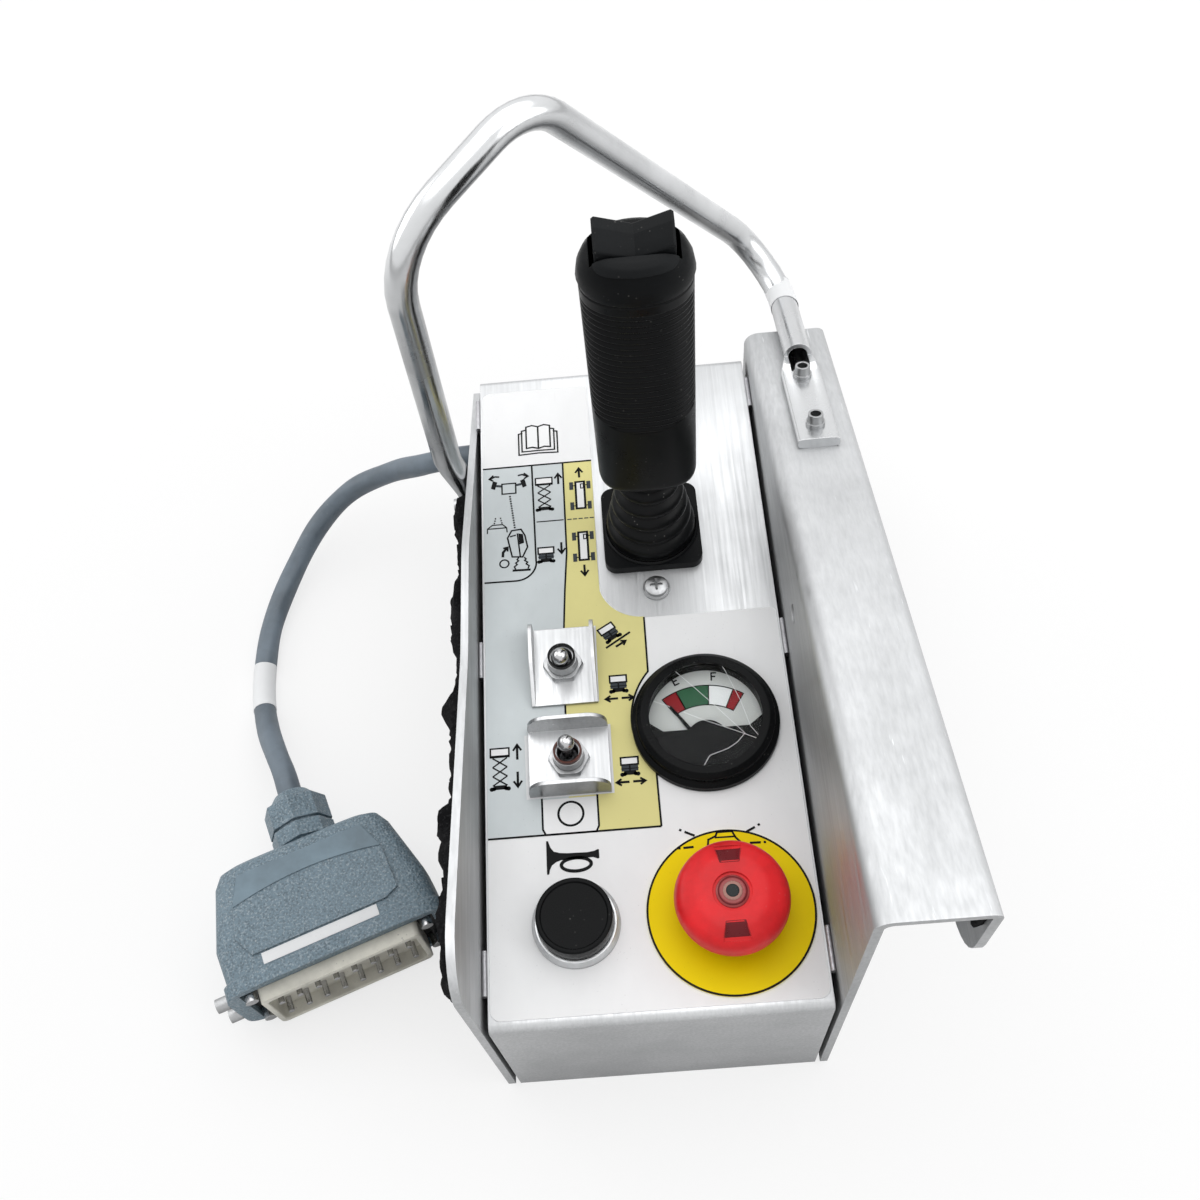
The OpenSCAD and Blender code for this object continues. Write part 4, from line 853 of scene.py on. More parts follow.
# Cable: its route from the left plate to the plug's gland as in the CAD source, in mm
CABLE_ROUTE_MM = [
    (-67.5, 122, 70), (-80, 122, 69), (-94, 126, 61), (-111, 134, 47), (-134, 136, 32),
    (-153, 125, 20), (-168, 103, 10), (-177, 78, 6), (-179, 56, 5.5), (-178, 36, 6.5),
    (-173, 17, 12), (-166, 1, 19), (-161, -10, 21.5), (-157, -22, 21.5)]

# The cores that show through the jacket: their number, their relief and the length of one turn
CORES, CORE_RELIEF, LAY_LENGTH = 4, 0.022, 0.0375

# Where the cable's label starts, and how proud it is, in metres
LABEL_Y, LABEL_PROUD = 0.055, 0.00012


def twist(angle, run):
    """Relief of the twisted cores, as a share of the cable's radius."""
    turn = 2 * math.pi * run / LAY_LENGTH
    return 1.0 - CORE_RELIEF + CORE_RELIEF * math.cos(CORES * angle - turn)


class CONTROLBOX_OT_cable(bpy.types.Operator):
    """Cable with its twisted cores showing through the jacket, and its bare label"""

    bl_idname = "controlbox.cable"
    bl_label = "Cable"
    bl_options = {"REGISTER", "UNDO"}

    def execute(self, context):
        route = [Vector(p) * MM for p in CABLE_ROUTE_MM]
        path = curve_through(route, 12)
        steps = [(b - a).length for a, b in zip(path, path[1:])]
        radius = sizes().cable_d / 2
        cable = piece("cable_jacket", skin(tube_rings(path, radius, wave=twist)), "jacket")
        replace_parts(cable, "cable")
        start = next(i for i, p in enumerate(path) if p.y < LABEL_Y)
        end, run = start, 0.0
        while run < sizes().label_l:
            run += steps[end]
            end += 1
        wrap = tube_rings(path[start:end + 1], radius + LABEL_PROUD)
        label = crisp(piece("cable_label", skin(wrap), "label"))
        dress("jacket", "cable_tail")
        dress("rubber", "cable_grommet")
        return {"FINISHED"}


class CONTROLBOX_OT_sheet_metal(bpy.types.Operator):
    """Cover, side plates, base, welds and their screws"""

    bl_idname = "controlbox.sheet_metal"
    bl_label = "Sheet metal"
    bl_options = {"REGISTER", "UNDO"}

    def execute(self, context):
        dress("sheet", "control_panel", "base_cover", angle=20)
        dress("plate", "left_side_plate", "right_hanger_plate", angle=20)
        dress("weld", "weld_beads")
        dress("hardware", "base_screws", "joystick_screws", "switch_nuts", "gauge_nuts", "gauge_clamp",
              "button_nuts")
        return {"FINISHED"}


# The stretch of the hoop under its label, in mm, and where the label starts and ends, in metres
HOOP_BEND_MM = (
    (74.2, 189.0, 109.3), (79.5, 179.2, 104.9), (81.4, 167.5, 105.8), (81.44, 158.0, 108.67))
HOOP_LABEL_FRONT, HOOP_LABEL_BACK, HOOP_LABEL_RADIUS = 0.161, 0.1785, 0.0063


class CONTROLBOX_OT_guard_hoop(bpy.types.Operator):
    """Guard hoop, its rivets and the bare label round it"""

    bl_idname = "controlbox.guard_hoop"
    bl_label = "Guard hoop"
    bl_options = {"REGISTER", "UNDO"}

    def execute(self, context):
        dress("tube", "guard_hoop", angle=40)
        dress("hardware", "hoop_rivets")
        bend = curve_through([Vector(p) * MM for p in HOOP_BEND_MM], 10)
        path = [p for p in bend if HOOP_LABEL_FRONT < p.y < HOOP_LABEL_BACK]
        wrap = skin(tube_rings(path, HOOP_LABEL_RADIUS), capped=False)
        thicken(piece("hoop_label", wrap, "label"), 0.1, -1.0)
        return {"FINISHED"}


# Each pad with its voxel and the depth of its tears, in metres
FOAM_PADS = (("side_foam_pad", 0.0016, 0.0016), ("rail_pad", 0.0012, 0.0009))

# Coarse and fine tears, as waves per metre and a share of the depth
COARSE_WAVES, COARSE_SHARE, FINE_WAVES, FINE_SHARE, FINE_START = 95, 1.3, 420, 0.7, Vector((7, 3, 1))

# Bits of the side pad that stick out: their reach in metres, their waves, and how common they are
TORN_REACH, BIT_WAVES, CRUMB_WAVES, CRUMB_SHARE, BITS_MORE = 0.0065, 55, 210, 0.3, 0.12

# No bits stick out below this height, where the plug is, and all of them this much above it
PLUG_CLEAR_Z, PLUG_CLEAR_FADE = 0.05, 0.01

# The side pad's outer layer, in voxels, and how full both pads are
OUTER_LAYER, FOAM_FILL = 1.5, 0.4

# Noise vectors start from a random place unless they are seeded, and a seed of 0 is the time
NOISE_SEED = 7


def voxel_mesh(node, voxel):
    """A CAD node's mesh, remeshed in even voxels."""
    made = new_object("torn_" + node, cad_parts[node].data.copy())
    made.data.materials.clear()
    made.data.materials.append(finish("foam"))
    joined(made)
    remesh = made.modifiers.new("Even skin", "REMESH")
    remesh.mode, remesh.voxel_size = "VOXEL", voxel
    bpy.context.view_layer.update()
    mesh = bpy.data.meshes.new_from_object(made.evaluated_get(bpy.context.evaluated_depsgraph_get()))
    made.modifiers.clear()
    made.data = mesh
    return made


def torn(p, low, high, tear):
    """Where noise moves a point of the foam, within its box."""
    coarse = noise.noise_vector(p * COARSE_WAVES) * tear * COARSE_SHARE
    fine = noise.noise_vector(p * FINE_WAVES + FINE_START) * tear * FINE_SHARE
    moved = p + coarse + fine
    return Vector([min(max(moved[i], low[i]), high[i]) for i in range(3)])


class CONTROLBOX_OT_foam(bpy.types.Operator):
    """Torn foam on the left plate and in the rail hook"""

    bl_idname = "controlbox.foam"
    bl_label = "Foam"
    bl_options = {"REGISTER", "UNDO"}

    def execute(self, context):
        noise.seed_set(NOISE_SEED)
        for node, voxel, tear in FOAM_PADS:
            made = voxel_mesh(node, voxel)
            low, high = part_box(node)
            for vertex in made.data.vertices:
                p = vertex.co
                moved = torn(p, low, high, tear)
                if node == "side_foam_pad" and p.x < low.x + OUTER_LAYER * voxel:
                    bits = noise.noise(p * BIT_WAVES) + BITS_MORE
                    bits += CRUMB_SHARE * noise.noise(p * CRUMB_WAVES)
                    clear = min(1.0, max(0.0, (p.z - PLUG_CLEAR_Z) / PLUG_CLEAR_FADE))
                    moved.x -= max(0.0, bits) * TORN_REACH * clear
                vertex.co = moved
            smoothed(made.data)
            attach(made, "box")
            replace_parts(made, node)
        return {"FINISHED"}


# Pictures of the legend
def raised_lift(ink, paper, x, y, w=7.4, h=17.6):
    """Platform on an opened scissor."""
    for shape in (ink, paper):
        shape.at(x, y)
    paper.box(0, h - 3.4, w, 3.4)
    ink.outline(0.1, h - 3.3, w - 0.2, 3.2)
    ink.box(-0.2, h - 4.0, w + 0.4, 0.9)
    step = (h - 6.2) / 3
    for k in range(3):
        low = 2.1 + step * k
        ink.line([(0.9, low), (w - 0.9, low + step)], 0.45)
        ink.line([(w - 0.9, low), (0.9, low + step)], 0.45)
    chassis_side(ink, w)


def chassis_side(ink, w):
    """Chassis and wheels seen from the side, on the origin's line."""
    ink.box(1.2, 0.5, w - 2.4, 1.7)
    for wheel in (0.5, w - 0.5):
        ink.disc(wheel, 0.75, 0.85)
        ink.disc(wheel + (0.9 if wheel < 1 else -0.9), 0.9, 0.8)


def lowered_lift(ink, paper, faded, x, y, w=7.0, angle=0.0):
    """Platform folded down on its chassis."""
    for shape in (ink, paper, faded):
        shape.at(x, y, angle)
    paper.box(0, 4.6, w, 3.1)
    ink.outline(0.2, 4.7, w - 0.4, 3.0, 0.55)
    faded.box(0.3, 2.0, w - 0.6, 2.5)
    ink.box(0.1, 2.9, w - 0.2, 0.35)
    ink.box(w / 2 - 0.3, 2.0, 0.6, 2.4)
    chassis_side(ink, w)


def chassis_above(ink, paper, faded, x, y, h=14.3):
    """Chassis seen from above with its four wheels."""
    for shape in (ink, paper, faded):
        shape.at(x, y)
    paper.box(2.7, 0, 3.8, h)
    ink.outline(2.7, 0.4, 3.8, h - 0.4, 0.75)
    ink.outline(4.9, h - 3.4, 1.2, 2.2, 0.4)
    for wheel_x in (0, 7.5):
        for wheel_y in (-0.2, h - 3.9):
            faded.box(wheel_x, wheel_y, 1.7, 4.0)
            ink.box(min(wheel_x + 1.4, 6.6), wheel_y + 1.8, 1.3, 0.45)


# Upright arrows beside the pictures, as (right, back, length) in mm
ARROWS = (
    (33.7, 226.5, 5.5), (33.7, 196.3, -5.5), (42.9, 229.0, 5.0), (42.9, 184.2, -5.2),
    (12.7, 98.6, 6.2), (12.7, 93.6, -6.2))


class CONTROLBOX_OT_legend(bpy.types.Operator):
    """Printed legend: zones, lines and pictures of the panel film"""

    bl_idname = "controlbox.legend"
    bl_label = "Legend"
    bl_options = {"REGISTER", "UNDO"}

    def execute(self, context):
        dress("film", "panel_overlay")
        shade, drive = Print("legend_shade", "shade"), Print("legend_drive_zone", "drive")
        paper, ink = Print("legend_paper", "film"), Print("legend_ink", "ink")
        faded = Print("legend_faded", "faded")
        back, front, edge = 237.7, 67.3, 0.9
        middle = [(36.0, back), (35.8, 191), (34.2, 172), (33.1, 155), (32.1, 119), (31.8, front)]
        gauge_side = arc(90.0, 110.7, 32.4, 139, 221, 20)
        far_side = [(48.6, back), (48.4, 186)] + arc(66.0, 175.0, 17.9, 180, 270, 14)[2:] + [(65.8, 156.8)]
        shade.fill([(edge, front), (edge, back)] + middle)
        drive.fill(middle[::-1] + far_side + gauge_side + [(65.7, front)])
        ink.line([(edge, back), (48.6, back)])
        ink.line([(edge, front), (65.7, front)])
        ink.line(middle[:-1] + [(32.0, 100.0)])
        ink.line([(65.8, 156.8)] + gauge_side + [(65.7, front)])
        ink.line([(22.4, back), (22.8, 188)] + arc(14.3, 187.6, 8.6, 0, -90, 12) + [(edge, 179.2)])
        ink.line([(23.6, 207.6), (35.2, 207.6)], 0.4)
        for k in range(5):
            faded.box(36.8 + 2.4 * k, 207.3, 1.8, 0.5)
        paper.box(21.6, front, 21.0, 14.0)
        ink.line([(21.6, 83), (21.6, 69.5), (22.6, front), (41.6, front), (42.6, 69.5), (42.6, 83)])
        ink.line(circle(32.3, 75.0, 4.7, 40), 0.7, closed=True)
        self.book(ink, paper)
        self.steering(ink, faded)
        raised_lift(ink, paper, 23.7, 212.9)
        raised_lift(ink, paper, 2.2, 86.3)
        lowered_lift(ink, paper, faded, 23.6, 186.6)
        chassis_above(ink, paper, faded, 38.4, 212.4)
        chassis_above(ink, paper, faded, 38.4, 186.2)
        lowered_lift(ink, paper, faded, 50.4, 145.6, angle=31)
        ink.at().line([(49.6, 143.9), (59.7, 150.4)], 0.7).arrow(53.6, 144.2, 4.1, 2.4, 1.2)
        for x, y, dy in ARROWS:
            ink.arrow(x, y, 0, dy)
        for x, y in ((50.0, 123.5), (52.1, 88.2)):
            lowered_lift(ink, paper, faded, x, y)
            ink.at(x, y).arrow(3.0, -2.3, -4.9, 0, 1.3).arrow(4.4, -2.3, 4.7, 0, 1.3)
        self.horn(ink)
        for made, lift in ((shade, 0.01), (drive, 0.01), (paper, 0.05), (faded, 0.09), (ink, 0.10)):
            made.lay(FILM_TOP, lift)
        return {"FINISHED"}

    def book(self, ink, paper):
        """Open book with the edges of its pages."""
        ink.at(17.0, 243.8)
        for inset, top in ((0.0, 12.0), (1.4, 13.6)):
            ink.line([(1.8 + inset, top), (inset, top - 0.4), (inset, inset * 1.2),
                      (8.7, 0.4 + inset), (17.2 - inset, inset * 1.2), (17.2 - inset, top - 0.4),
                      (15.4 - inset, top)], 0.5)
        page = [(3.4, 3.4), (6.0, 3.8), (8.7, 2.9), (11.4, 3.8), (14.0, 3.4), (14.0, 15.2), (11.4, 15.9),
                (8.7, 15.0), (6.0, 15.9), (3.4, 15.2)]
        ink.line(page, 0.55, closed=True).line([(8.7, 2.9), (8.7, 15.0)], 0.6)
        paper.at(17.0, 243.8).fill(page)

    def steering(self, ink, faded):
        """Wheels turned by the stick, the stick with its switch, and its base."""
        ink.at()
        faded.at()
        ink.outline(9.1, 223.6, 6.0, 5.3, 0.5)
        for x, side in ((9.0, -1), (15.2, 1)):
            faded.line([(x, 227.8), (x + side * 2.4, 228.2)], 0.9)
            ink.fill([(x + side * dx, y) for dx, y in (
                (1.9, 230.0), (3.8, 231.0), (4.7, 227.0), (3.0, 226.2))])
            ink.line([(x + side * 1.0, 232.9), (x + side * 2.9, 233.2), (x + side * 4.8, 232.2)], 0.6)
            ink.line([(x + side * 3.6, 233.9), (x + side * 5.4, 232.1), (x + side * 3.7, 231.0)], 0.6)
        for k in range(14):
            ink.box(12.1 + 0.13 * k, 221.6 - 1.25 * k, 0.8, 0.75)
        handle = [(12.8, 204.2), (16.8, 204.6), (18.4, 201.4), (19.4, 195.4), (17.2, 190.6), (12.8, 191.0),
                  (11.0, 200.6)]
        ink.line(handle, 0.55, closed=True)
        ink.line([(15.2, 202.6), (16.2, 191.0)], 0.5).line([(12.0, 201.2), (14.6, 201.8)], 0.5)
        ink.fill([(15.6, 202.6), (17.6, 202.0), (18.0, 197.6), (16.0, 197.0)])
        for side in (-1, 1):
            ink.line([(16.7 + side * dx, y) for dx, y in (
                (1.2, 190.4), (1.9, 189.4), (1.3, 188.8), (2.5, 187.8), (1.9, 187.0), (3.1, 186.0),
                (2.6, 184.6))], 0.5)
        ink.line([(12.8, 184.2), (20.4, 184.0)], 0.8)
        ink.line(circle(9.4, 187.9, 1.9, 24), 0.5, closed=True)
        ink.line([(8.8, 191.2), (9.0, 193.6), (10.6, 195.6)], 0.9)
        ink.line([(9.0, 195.6), (11.0, 196.0), (10.9, 193.9)], 0.6)
        ink.line([(2.4, 203.6), (2.5, 206.0), (10.7, 206.0), (10.9, 203.6)], 0.4)
        ink.line([(2.5, 206.0), (4.6, 207.8), (9.0, 207.8), (10.7, 206.0)], 0.4)
        for x, dx in ((5.2, 0.25), (8.4, -0.25)):
            for k in range(3):
                ink.box(x + dx * k, 208.3 + 1.2 * k, 0.6, 0.7)

    def horn(self, ink):
        """Horn with its bell and its coil."""
        upper = [(22.6, 64.9), (23.3, 64.9), (24.1, 62.3), (25.3, 60.7), (27.4, 60.0), (30.1, 59.7),
                 (37.6, 59.5), (40.2, 59.8), (41.6, 60.4), (42.0, 60.2), (42.0, 56.9), (41.4, 56.8),
                 (39.8, 57.5)]
        lower = [(27.8, 57.2), (26.0, 56.6), (24.4, 55.4), (23.6, 53.8), (23.3, 52.1), (22.5, 52.1)]
        ink.at().fill(upper + lower)
        ink.line([(33.4 + 5.5 * math.cos(t * math.pi / 24), 55.2 + 2.5 * math.sin(t * math.pi / 24))
                  for t in range(48)], 1.0, closed=True)


# Rocker: its depth, the dip between its wings and the rounding of its edge in mm, and its seat's share
ROCKER_DEPTH, WING_DIP, WING_ROUND, ROCKER_SEAT = 11.8, 4.5, 1.0, 0.28

# Its cross sections, as (place back in shares of its depth, drop, inset), in mm
ROCKER_SECTIONS = (
    (-0.5, 4.6, 0.5), (-0.48, 4.0, 0.1), (-0.44, 3.5, 0.0), (-0.2, 1.8, 0.0), (0.0, 0.5, 0.0),
    (0.06, 0.12, 0.0), (0.12, 0.0, 0.0), (0.44, 0.0, 0.0), (0.48, 0.2, 0.1), (0.5, 0.6, 0.4))

# The smile shaped rest in front of it: its gap, half width and depth, in mm
REST_GAP, REST_HALF_W, REST_DEPTH = 0.7, 13.4, 6.2

# Gaiter: radius at its foot and its neck, height of the neck, depth of a fold and thickness, in mm
GAITER_FOOT_R, GAITER_NECK_R, GAITER_NECK, GAITER_FOLD, GAITER_WALL = 20.0, 12.8, 5.0, 3.2, 1.1

# Its flange's height and reach past the folds, and how far its collar lies within the neck, in mm
FLANGE_H, FLANGE_PAST, COLLAR_INSET = 0.6, 1.0, 3.2

# Points along a fold, how round it is, the first one's share of the depth and how fast that grows
FOLD_POINTS, FOLD_ROUND, FIRST_FOLD, FOLD_GROWS = 14, 0.7, 0.15, 6

# Grip: its ribs' lowest and highest place in shares of its height, and their depth in mm
RIBS_FROM, RIBS_TO, RIB_DEPTH = 0.42, 0.955, 1.05

# How square its oval is at the foot, and how much less so further up
SQUARE_FOOT, SQUARE_LESS = 3.0, 0.9

# Rims at its foot and its top, as the height in mm and how far it draws in there
FOOT_RIM, FOOT_DRAWN, TOP_RIM, TOP_DRAWN = 2.4, 0.6, 0.9, 1.1

# How round a rib is, how fast it fades at the sides, and the ribs' lower border: its rise at the
# sides and its dip in front, in mm
RIB_ROUND, RIB_FADES, BORDER_RISE, BORDER_DIP = 0.45, 2.2, 9.0, 5.0

# Its rows: their spacing near the rims and on the plain part, how far both reach, in mm, and how
# many lie on a rib, and the points in a row
RIM_STEP, PLAIN_STEP, NEAR_RIM, NEAR_RIBS, RIB_ROWS, GRIP_SIDES = 0.25, 1.5, 2.0, 8, 10, 120


class CONTROLBOX_OT_joystick(bpy.types.Operator):
    """Joystick: gaiter, ribbed grip, cap, rocker and base"""

    bl_idname = "controlbox.joystick"
    bl_label = "Joystick"
    bl_options = {"REGISTER", "UNDO"}

    def execute(self, context):
        dress("black", "joystick_base", "joystick_body", "grip_cap", angle=40)
        dress("hardware", "joystick_shaft")
        self.gaiter()
        self.grip()
        self.rocker()
        self.cap_rest()
        return {"FINISHED"}

    def rocker(self):
        """Winged rocker with a ridge across it."""
        low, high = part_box("thumb_rocker")
        tip, h = (high.x - low.x) / 2 / MM, (high.z - low.z) / MM
        rings = []
        for share, drop, inset in ROCKER_SECTIONS:
            half, y = tip - inset, STICK.y + share * ROCKER_DEPTH * MM
            ring = [(-tip * 0.8 + inset, 0.0), (tip * 0.8 - inset, 0.0), (half, h * ROCKER_SEAT)]
            for k in range(33):
                x = half * (1 - k / 16)
                over = max(0.0, abs(x) - (half - WING_ROUND))
                fall = WING_ROUND - math.sqrt(max(0.0, WING_ROUND ** 2 - over ** 2))
                ring.append((x, h - WING_DIP * (1 - abs(x) / half) - drop - fall))
            ring.append((-half, h * ROCKER_SEAT))
            rings.append([Vector((STICK.x + x * MM, y, low.z + z * MM)) for x, z in ring])
        made = crisp(piece("rocker_wings", skin(rings), "soft", "rocker"), 16)
        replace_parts(made, "thumb_rocker")

    def cap_rest(self):
        """Smile shaped rest on the front of the cap."""
        front = -ROCKER_DEPTH / 2 - REST_GAP
        rows = []
        for i in range(12, -1, -1):
            share = i / 12
            half = REST_HALF_W * math.sqrt(max(0.002, 1 - share * share))
            y = STICK.y + (front - REST_DEPTH * share) * MM
            rows.append([(STICK.x + half * (j / 10 - 1) * MM, y) for j in range(21)])
        draped("cap_rest", "grip_cap", rows, "soft", "joystick", 0.02, 0.5)

    def gaiter(self):
        """Folded rubber from its foot on the base up to its neck at the stick."""
        low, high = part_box("joystick_gaiter")
        h = (high.z - low.z) / MM
        folded = h - GAITER_NECK
        count = sizes().rings
        steps = FOLD_POINTS * count
        profile = [(GAITER_FOOT_R, 0.0), (GAITER_FOOT_R, FLANGE_H)]
        for k in range(steps + 1):
            t = k / steps
            wave = abs(math.sin(math.pi * count * t)) ** FOLD_ROUND
            r = GAITER_FOOT_R * (1 - t) + GAITER_NECK_R * t - FLANGE_PAST
            r -= GAITER_FOLD * (1 - wave) * min(1.0, FOLD_GROWS * t + FIRST_FOLD)
            profile.append((r, FLANGE_H + t * (folded - FLANGE_H)))
        neck = GAITER_NECK_R - COLLAR_INSET
        profile += [(neck + 0.6, folded + 0.8), (neck, folded + 1.8), (neck, h - 0.4)]
        inner = [(r - GAITER_WALL, z) for r, z in profile[::-1]]
        foot = Vector((STICK.x, STICK.y, low.z))
        rings = turned(profile + inner, foot, 72)
        made = shaped("gaiter", skin(rings, capped=False, looped=True), "rubber")
        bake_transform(made)
        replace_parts(made, "joystick_gaiter")

    def grip(self):
        """Oval grip with ribs that fade out at its sides."""
        low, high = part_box("joystick_grip")
        h = (high.z - low.z) / MM
        half_w, half_d = (high.x - low.x) / 2 / MM, (high.y - low.y) / 2 / MM
        rib_low, rib_high = RIBS_FROM * h, RIBS_TO * h
        pitch = (rib_high - rib_low) / sizes().ribs
        rows, z = [], 0.0
        while z < h - 0.01:
            rows.append(z)
            near_rim = z < NEAR_RIM or z > h - NEAR_RIM
            beyond = pitch / RIB_ROWS if z > rib_low - NEAR_RIBS else PLAIN_STEP
            z += RIM_STEP if near_rim else beyond
        rows.append(h)
        turns = [2 * math.pi * k / GRIP_SIDES for k in range(GRIP_SIDES)]
        rings = []
        for z in rows:
            power = SQUARE_FOOT - SQUARE_LESS * min(1.0, z / h * 1.15)
            rim = max(0.0, FOOT_RIM - z) * FOOT_DRAWN + max(0.0, z - h + TOP_RIM) ** 2 * TOP_DRAWN
            rib = 0.5 - 0.5 * math.cos(2 * math.pi * (z - rib_low) / pitch)
            ring = []
            for c, s in ((math.cos(turn), math.sin(turn)) for turn in turns):
                front = max(0.0, min(1.0, (-s + 0.02) * RIB_FADES))
                border = rib_low + BORDER_RISE * (1 - front) - BORDER_DIP * max(0.0, -s) ** 4
                within = front if border < z < rib_high else 0.0
                inset = rim + within * RIB_DEPTH * (1 - rib ** RIB_ROUND)
                x = math.copysign(abs(c) ** (2 / power), c) * (half_w - inset)
                y = math.copysign(abs(s) ** (2 / power), s) * (half_d - inset)
                ring.append(Vector((STICK.x + x * MM, STICK.y + y * MM, low.z + z * MM)))
            rings.append(ring)
        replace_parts(piece("grip_sleeve", skin(rings), "grip", "joystick"),
                    "joystick_grip")


# Pale borders round the guards, in mm
GUARD_BORDERS = (
    [(18.6, 154.8), (46.0, 154.6), (45.5, 120.5), (19.0, 120.0)],
    [(15.6, 108.3), (49.3, 110.5), (49.2, 81.9), (15.8, 81.8)])


class CONTROLBOX_OT_switches(bpy.types.Operator):
    """Toggle switches with their folded guards"""

    bl_idname = "controlbox.switches"
    bl_label = "Switches"
    bl_options = {"REGISTER", "UNDO"}

    def execute(self, context):
        dress("guard", "upper_switch_guard", "lower_switch_guard")
        dress("rubber", "upper_switch_seal")
        dress("seal", "lower_switch_seal")
        dress("hardware", "upper_switch_body", "lower_switch_body")
        dress("chrome", "upper_toggle_lever", "lower_toggle_lever", angle=40)
        borders = Print("guard_borders", "label")
        for border in GUARD_BORDERS:
            borders.fill(border)
        borders.lay(FILM_TOP, 0.14)
        return {"FINISHED"}


# Gauge: its pivot's distance in front of its middle, its scale's radii and half sweep, in mm and degrees
PIVOT_DROP, SCALE_INNER, SCALE_OUTER, HALF_SWEEP = 13.0, 20.0, 28.4, 34.0

# Fields of the scale as (name, finish, start, end), in shares of the sweep
SCALE_FIELDS = (
    ("low", "red print", 0.0, 0.19), ("good", "green print", 0.19, 0.58),
    ("charge", "label", 0.58, 0.87), ("over", "red print", 0.87, 1.0))

# Letters at the ends of the scale as (right, back, turn, strokes), and cracks, from the middle in mm
LETTERS = (
    (-10.4, 16.4, 22, ([(2.0, 0), (0, 0), (0, 3.4), (2.0, 3.4)], [(0, 1.7), (1.7, 1.7)])),
    (4.0, 17.2, -4, ([(0, 0), (0, 3.4), (2.0, 3.4)], [(0, 1.8), (1.6, 1.8)])))
CRACKS = (
    [(-10.0, 19.5), (-3.0, 11.6), (4.3, 3.0), (14.1, -9.0)],
    [(7.9, 21.2), (9.4, 18.0), (13.9, 4.8), (16.5, -6.2), (19.1, -10.3)],
    [(-19.3, 7.3), (-13.2, 4.4)], [(-8.4, 1.8), (-1.7, -1.8), (11.3, -7.9), (18.2, -11.4)],
    [(14.1, -9.0), (10.8, -12.5), (7.1, -14.7), (-0.1, -17.0), (-2.4, -20.7)])


class CONTROLBOX_OT_gauge(bpy.types.Operator):
    """Battery gauge: bezel, dial with its scale, pointer and cracked glass"""

    bl_idname = "controlbox.gauge"
    bl_label = "Gauge"
    bl_options = {"REGISTER", "UNDO"}

    def execute(self, context):
        dress("satin", "gauge_bezel", "gauge_cover", "gauge_pointer", "gauge_case", angle=34)
        dress("dial", "gauge_dial")
        dress("glass", "gauge_lens")
        cx, cy = to_legend(GAUGE)
        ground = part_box("gauge_dial")[1].z
        edges = Print("gauge_scale_lines", "ink")
        for name, finish_name, start, end in SCALE_FIELDS:
            a, b = (90 + HALF_SWEEP - 2 * HALF_SWEEP * share for share in (start, end))
            field = arc(cx, cy - PIVOT_DROP, SCALE_OUTER, a, b, 12)
            field += arc(cx, cy - PIVOT_DROP, SCALE_INNER, b, a, 12)
            Print("gauge_scale_" + name, finish_name).fill(field).lay(ground, 0.02, "dial")
            edges.line(field, 0.35, closed=True)
        for x, y, turn, strokes in LETTERS:
            edges.at(cx + x, cy + y, turn)
            for stroke in strokes:
                edges.line(stroke, 0.5)
        edges.lay(ground, 0.07, "dial")
        cracks = Print("gauge_glass_cracks", "crack").at(cx, cy)
        for crack in CRACKS:
            cracks.line(crack, 0.14)
        cracks.lay(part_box("gauge_lens")[1].z, 0.01, "lens", thick=0.02)
        return {"FINISHED"}


# Printed lines and the beacon on the stop plate, and the rays round it on the legend, in mm
PLATE_LINES = (
    [(71.1, 58.0), (72.0, 58.0)], [(73.0, 58.0), (76.8, 58.1)], [(97.4, 58.0), (101.4, 57.9)],
    [(102.4, 57.9), (103.3, 57.9)])
BEACON = [(82, 58), (82.4, 60.4), (85.2, 61.6), (85.8, 63.0), (91.4, 63.0), (92.4, 60.6), (94.6, 58)]
RAYS = (
    [(72.1, 65.4), (72.9, 65.0)], [(74.0, 64.4), (77.6, 62.6)], [(96.7, 62.6), (100.0, 64.2)],
    [(101.1, 64.8), (101.9, 65.2)])

# Windows on the stop button's slope: their inner end, their length, and their half width there and
# how much it grows outwards, in mm
WINDOW_FROM, WINDOW_LENGTH, WINDOW_HALF_W, WINDOW_GROWS = 10.2, 5.2, 3.4, 1.3

# Profile of the stop button's lens, and the discs in it as (name, radius, rise, finish), in mm
LENS_DOME = ((0.0, 0.0), (5.8, 0.0), (5.8, 0.5), (5.2, 0.9), (4.2, 1.15), (2.6, 1.3), (0.0, 1.35))
LENS_DISCS = (
    ("outer", 5.1, 1.02, "window"), ("middle", 4.6, 1.16, "lens"), ("inner", 3.4, 1.3, "lens ring"),
    ("core", 2.3, 1.42, "lens core"))


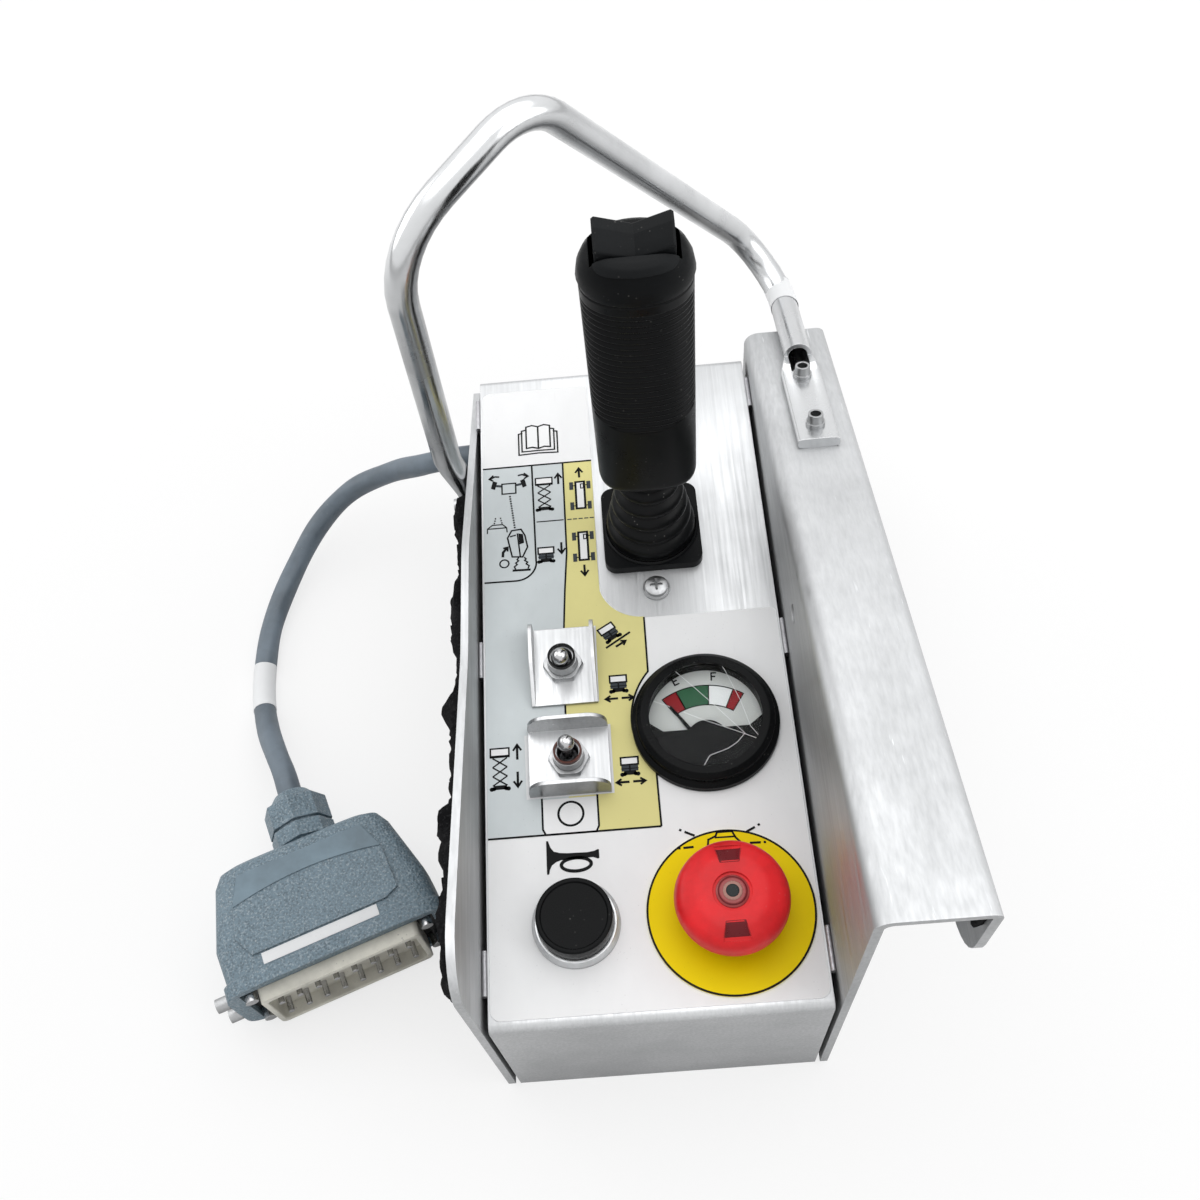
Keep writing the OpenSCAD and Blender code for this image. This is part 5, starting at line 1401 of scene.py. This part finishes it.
class CONTROLBOX_OT_buttons(bpy.types.Operator):
    """Push button and stop button, with the printing round the stop plate"""

    bl_idname = "controlbox.buttons"
    bl_label = "Buttons"
    bl_options = {"REGISTER", "UNDO"}

    def execute(self, context):
        dress("ring", "horn_ring")
        dress("satin", "horn_cap", "stop_collar")
        dress("barrel", "horn_barrel", "horn_contact", "stop_barrel", "stop_contact")
        dress("terminal", "terminal_strip")
        dress("stop plate", "stop_disc")
        dress("knob", "stop_head", "stop_plunger", angle=40)
        ink = Print("stop_plate_lines", "ink")
        ink.line(circle(*to_legend(STOP), 29.9, 96), 0.6, closed=True)
        rays = Print("stop_rays", "ink")
        for made, lines in ((ink, PLATE_LINES), (rays, RAYS)):
            for points in lines:
                made.line(points, 0.7)
        ink.line(BEACON, 0.6).line([(84.8, 61.0), (92.6, 60.9)], 0.5)
        ink.lay(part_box("stop_disc")[1].z, 0.01, "stop_yellow")
        rays.lay(FILM_TOP, 0.1)
        self.windows()
        self.lens()
        return {"FINISHED"}

    def windows(self):
        """Two dark windows on the slope of the stop button."""
        for name, side in (("front", -1), ("back", 1)):
            rows = []
            for k in range(6, -1, -1):
                r = (WINDOW_FROM + WINDOW_LENGTH * k / 6) * MM
                half = (WINDOW_HALF_W + WINDOW_GROWS * k / 6) * MM
                rows.append([(STOP.x + half * (j / 4 - 1) * side, STOP.y + side * r) for j in range(9)])
            draped("stop_window_" + name, "stop_head", rows, "window", "stop_button")

    def lens(self):
        """Clouded lens on top of the stop button, with rings that show in it."""
        centre = Vector((STOP.x, STOP.y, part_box("stop_head")[1].z - 1.0 * MM))
        dome = skin(turned(LENS_DOME, centre, 64))
        crisp(piece("stop_lens", dome, "lens", "stop_button"), 50)
        for name, r, rise, finish_name in LENS_DISCS:
            disc = [(0.0, 0.8), (r, 0.8), (r, rise), (r - 0.3, rise + 0.1), (0.0, rise + 0.14)]
            piece("stop_lens_" + name, skin(turned(disc, centre, 48)), finish_name,
                  "stop_button")


MAKERS = [
    CONTROLBOX_OT_studio, CONTROLBOX_OT_plug, CONTROLBOX_OT_cable, CONTROLBOX_OT_sheet_metal,
    CONTROLBOX_OT_guard_hoop, CONTROLBOX_OT_foam, CONTROLBOX_OT_legend, CONTROLBOX_OT_joystick,
    CONTROLBOX_OT_switches, CONTROLBOX_OT_gauge, CONTROLBOX_OT_buttons]


class CONTROLBOX_PT_panel(bpy.types.Panel):
    """Lists the makers and their sizes and colours"""

    bl_label = "Control box"
    bl_space_type = "VIEW_3D"
    bl_region_type = "UI"
    bl_category = "Control box"

    def draw(self, context):
        for maker in MAKERS:
            self.layout.operator(maker.bl_idname)
        for group in (context.scene.control_box_sizes, context.scene.control_box_colors):
            box = self.layout.box()
            for name in group.__annotations__:
                box.prop(group, name)


CLASSES = [ControlBoxColors, ControlBoxSizes, *MAKERS, CONTROLBOX_PT_panel]


def register():
    for cls in CLASSES:
        bpy.utils.register_class(cls)
    bpy.types.Scene.control_box_colors = PointerProperty(type=ControlBoxColors)
    bpy.types.Scene.control_box_sizes = PointerProperty(type=ControlBoxSizes)


def unregister():
    del bpy.types.Scene.control_box_sizes
    del bpy.types.Scene.control_box_colors
    for cls in reversed(CLASSES):
        bpy.utils.unregister_class(cls)


def main():
    """Registers the box and makes all its pieces."""
    register()
    for maker in MAKERS:
        getattr(bpy.ops.controlbox, maker.bl_idname.split(".")[1])()


if __name__ == "__main__":
    main()
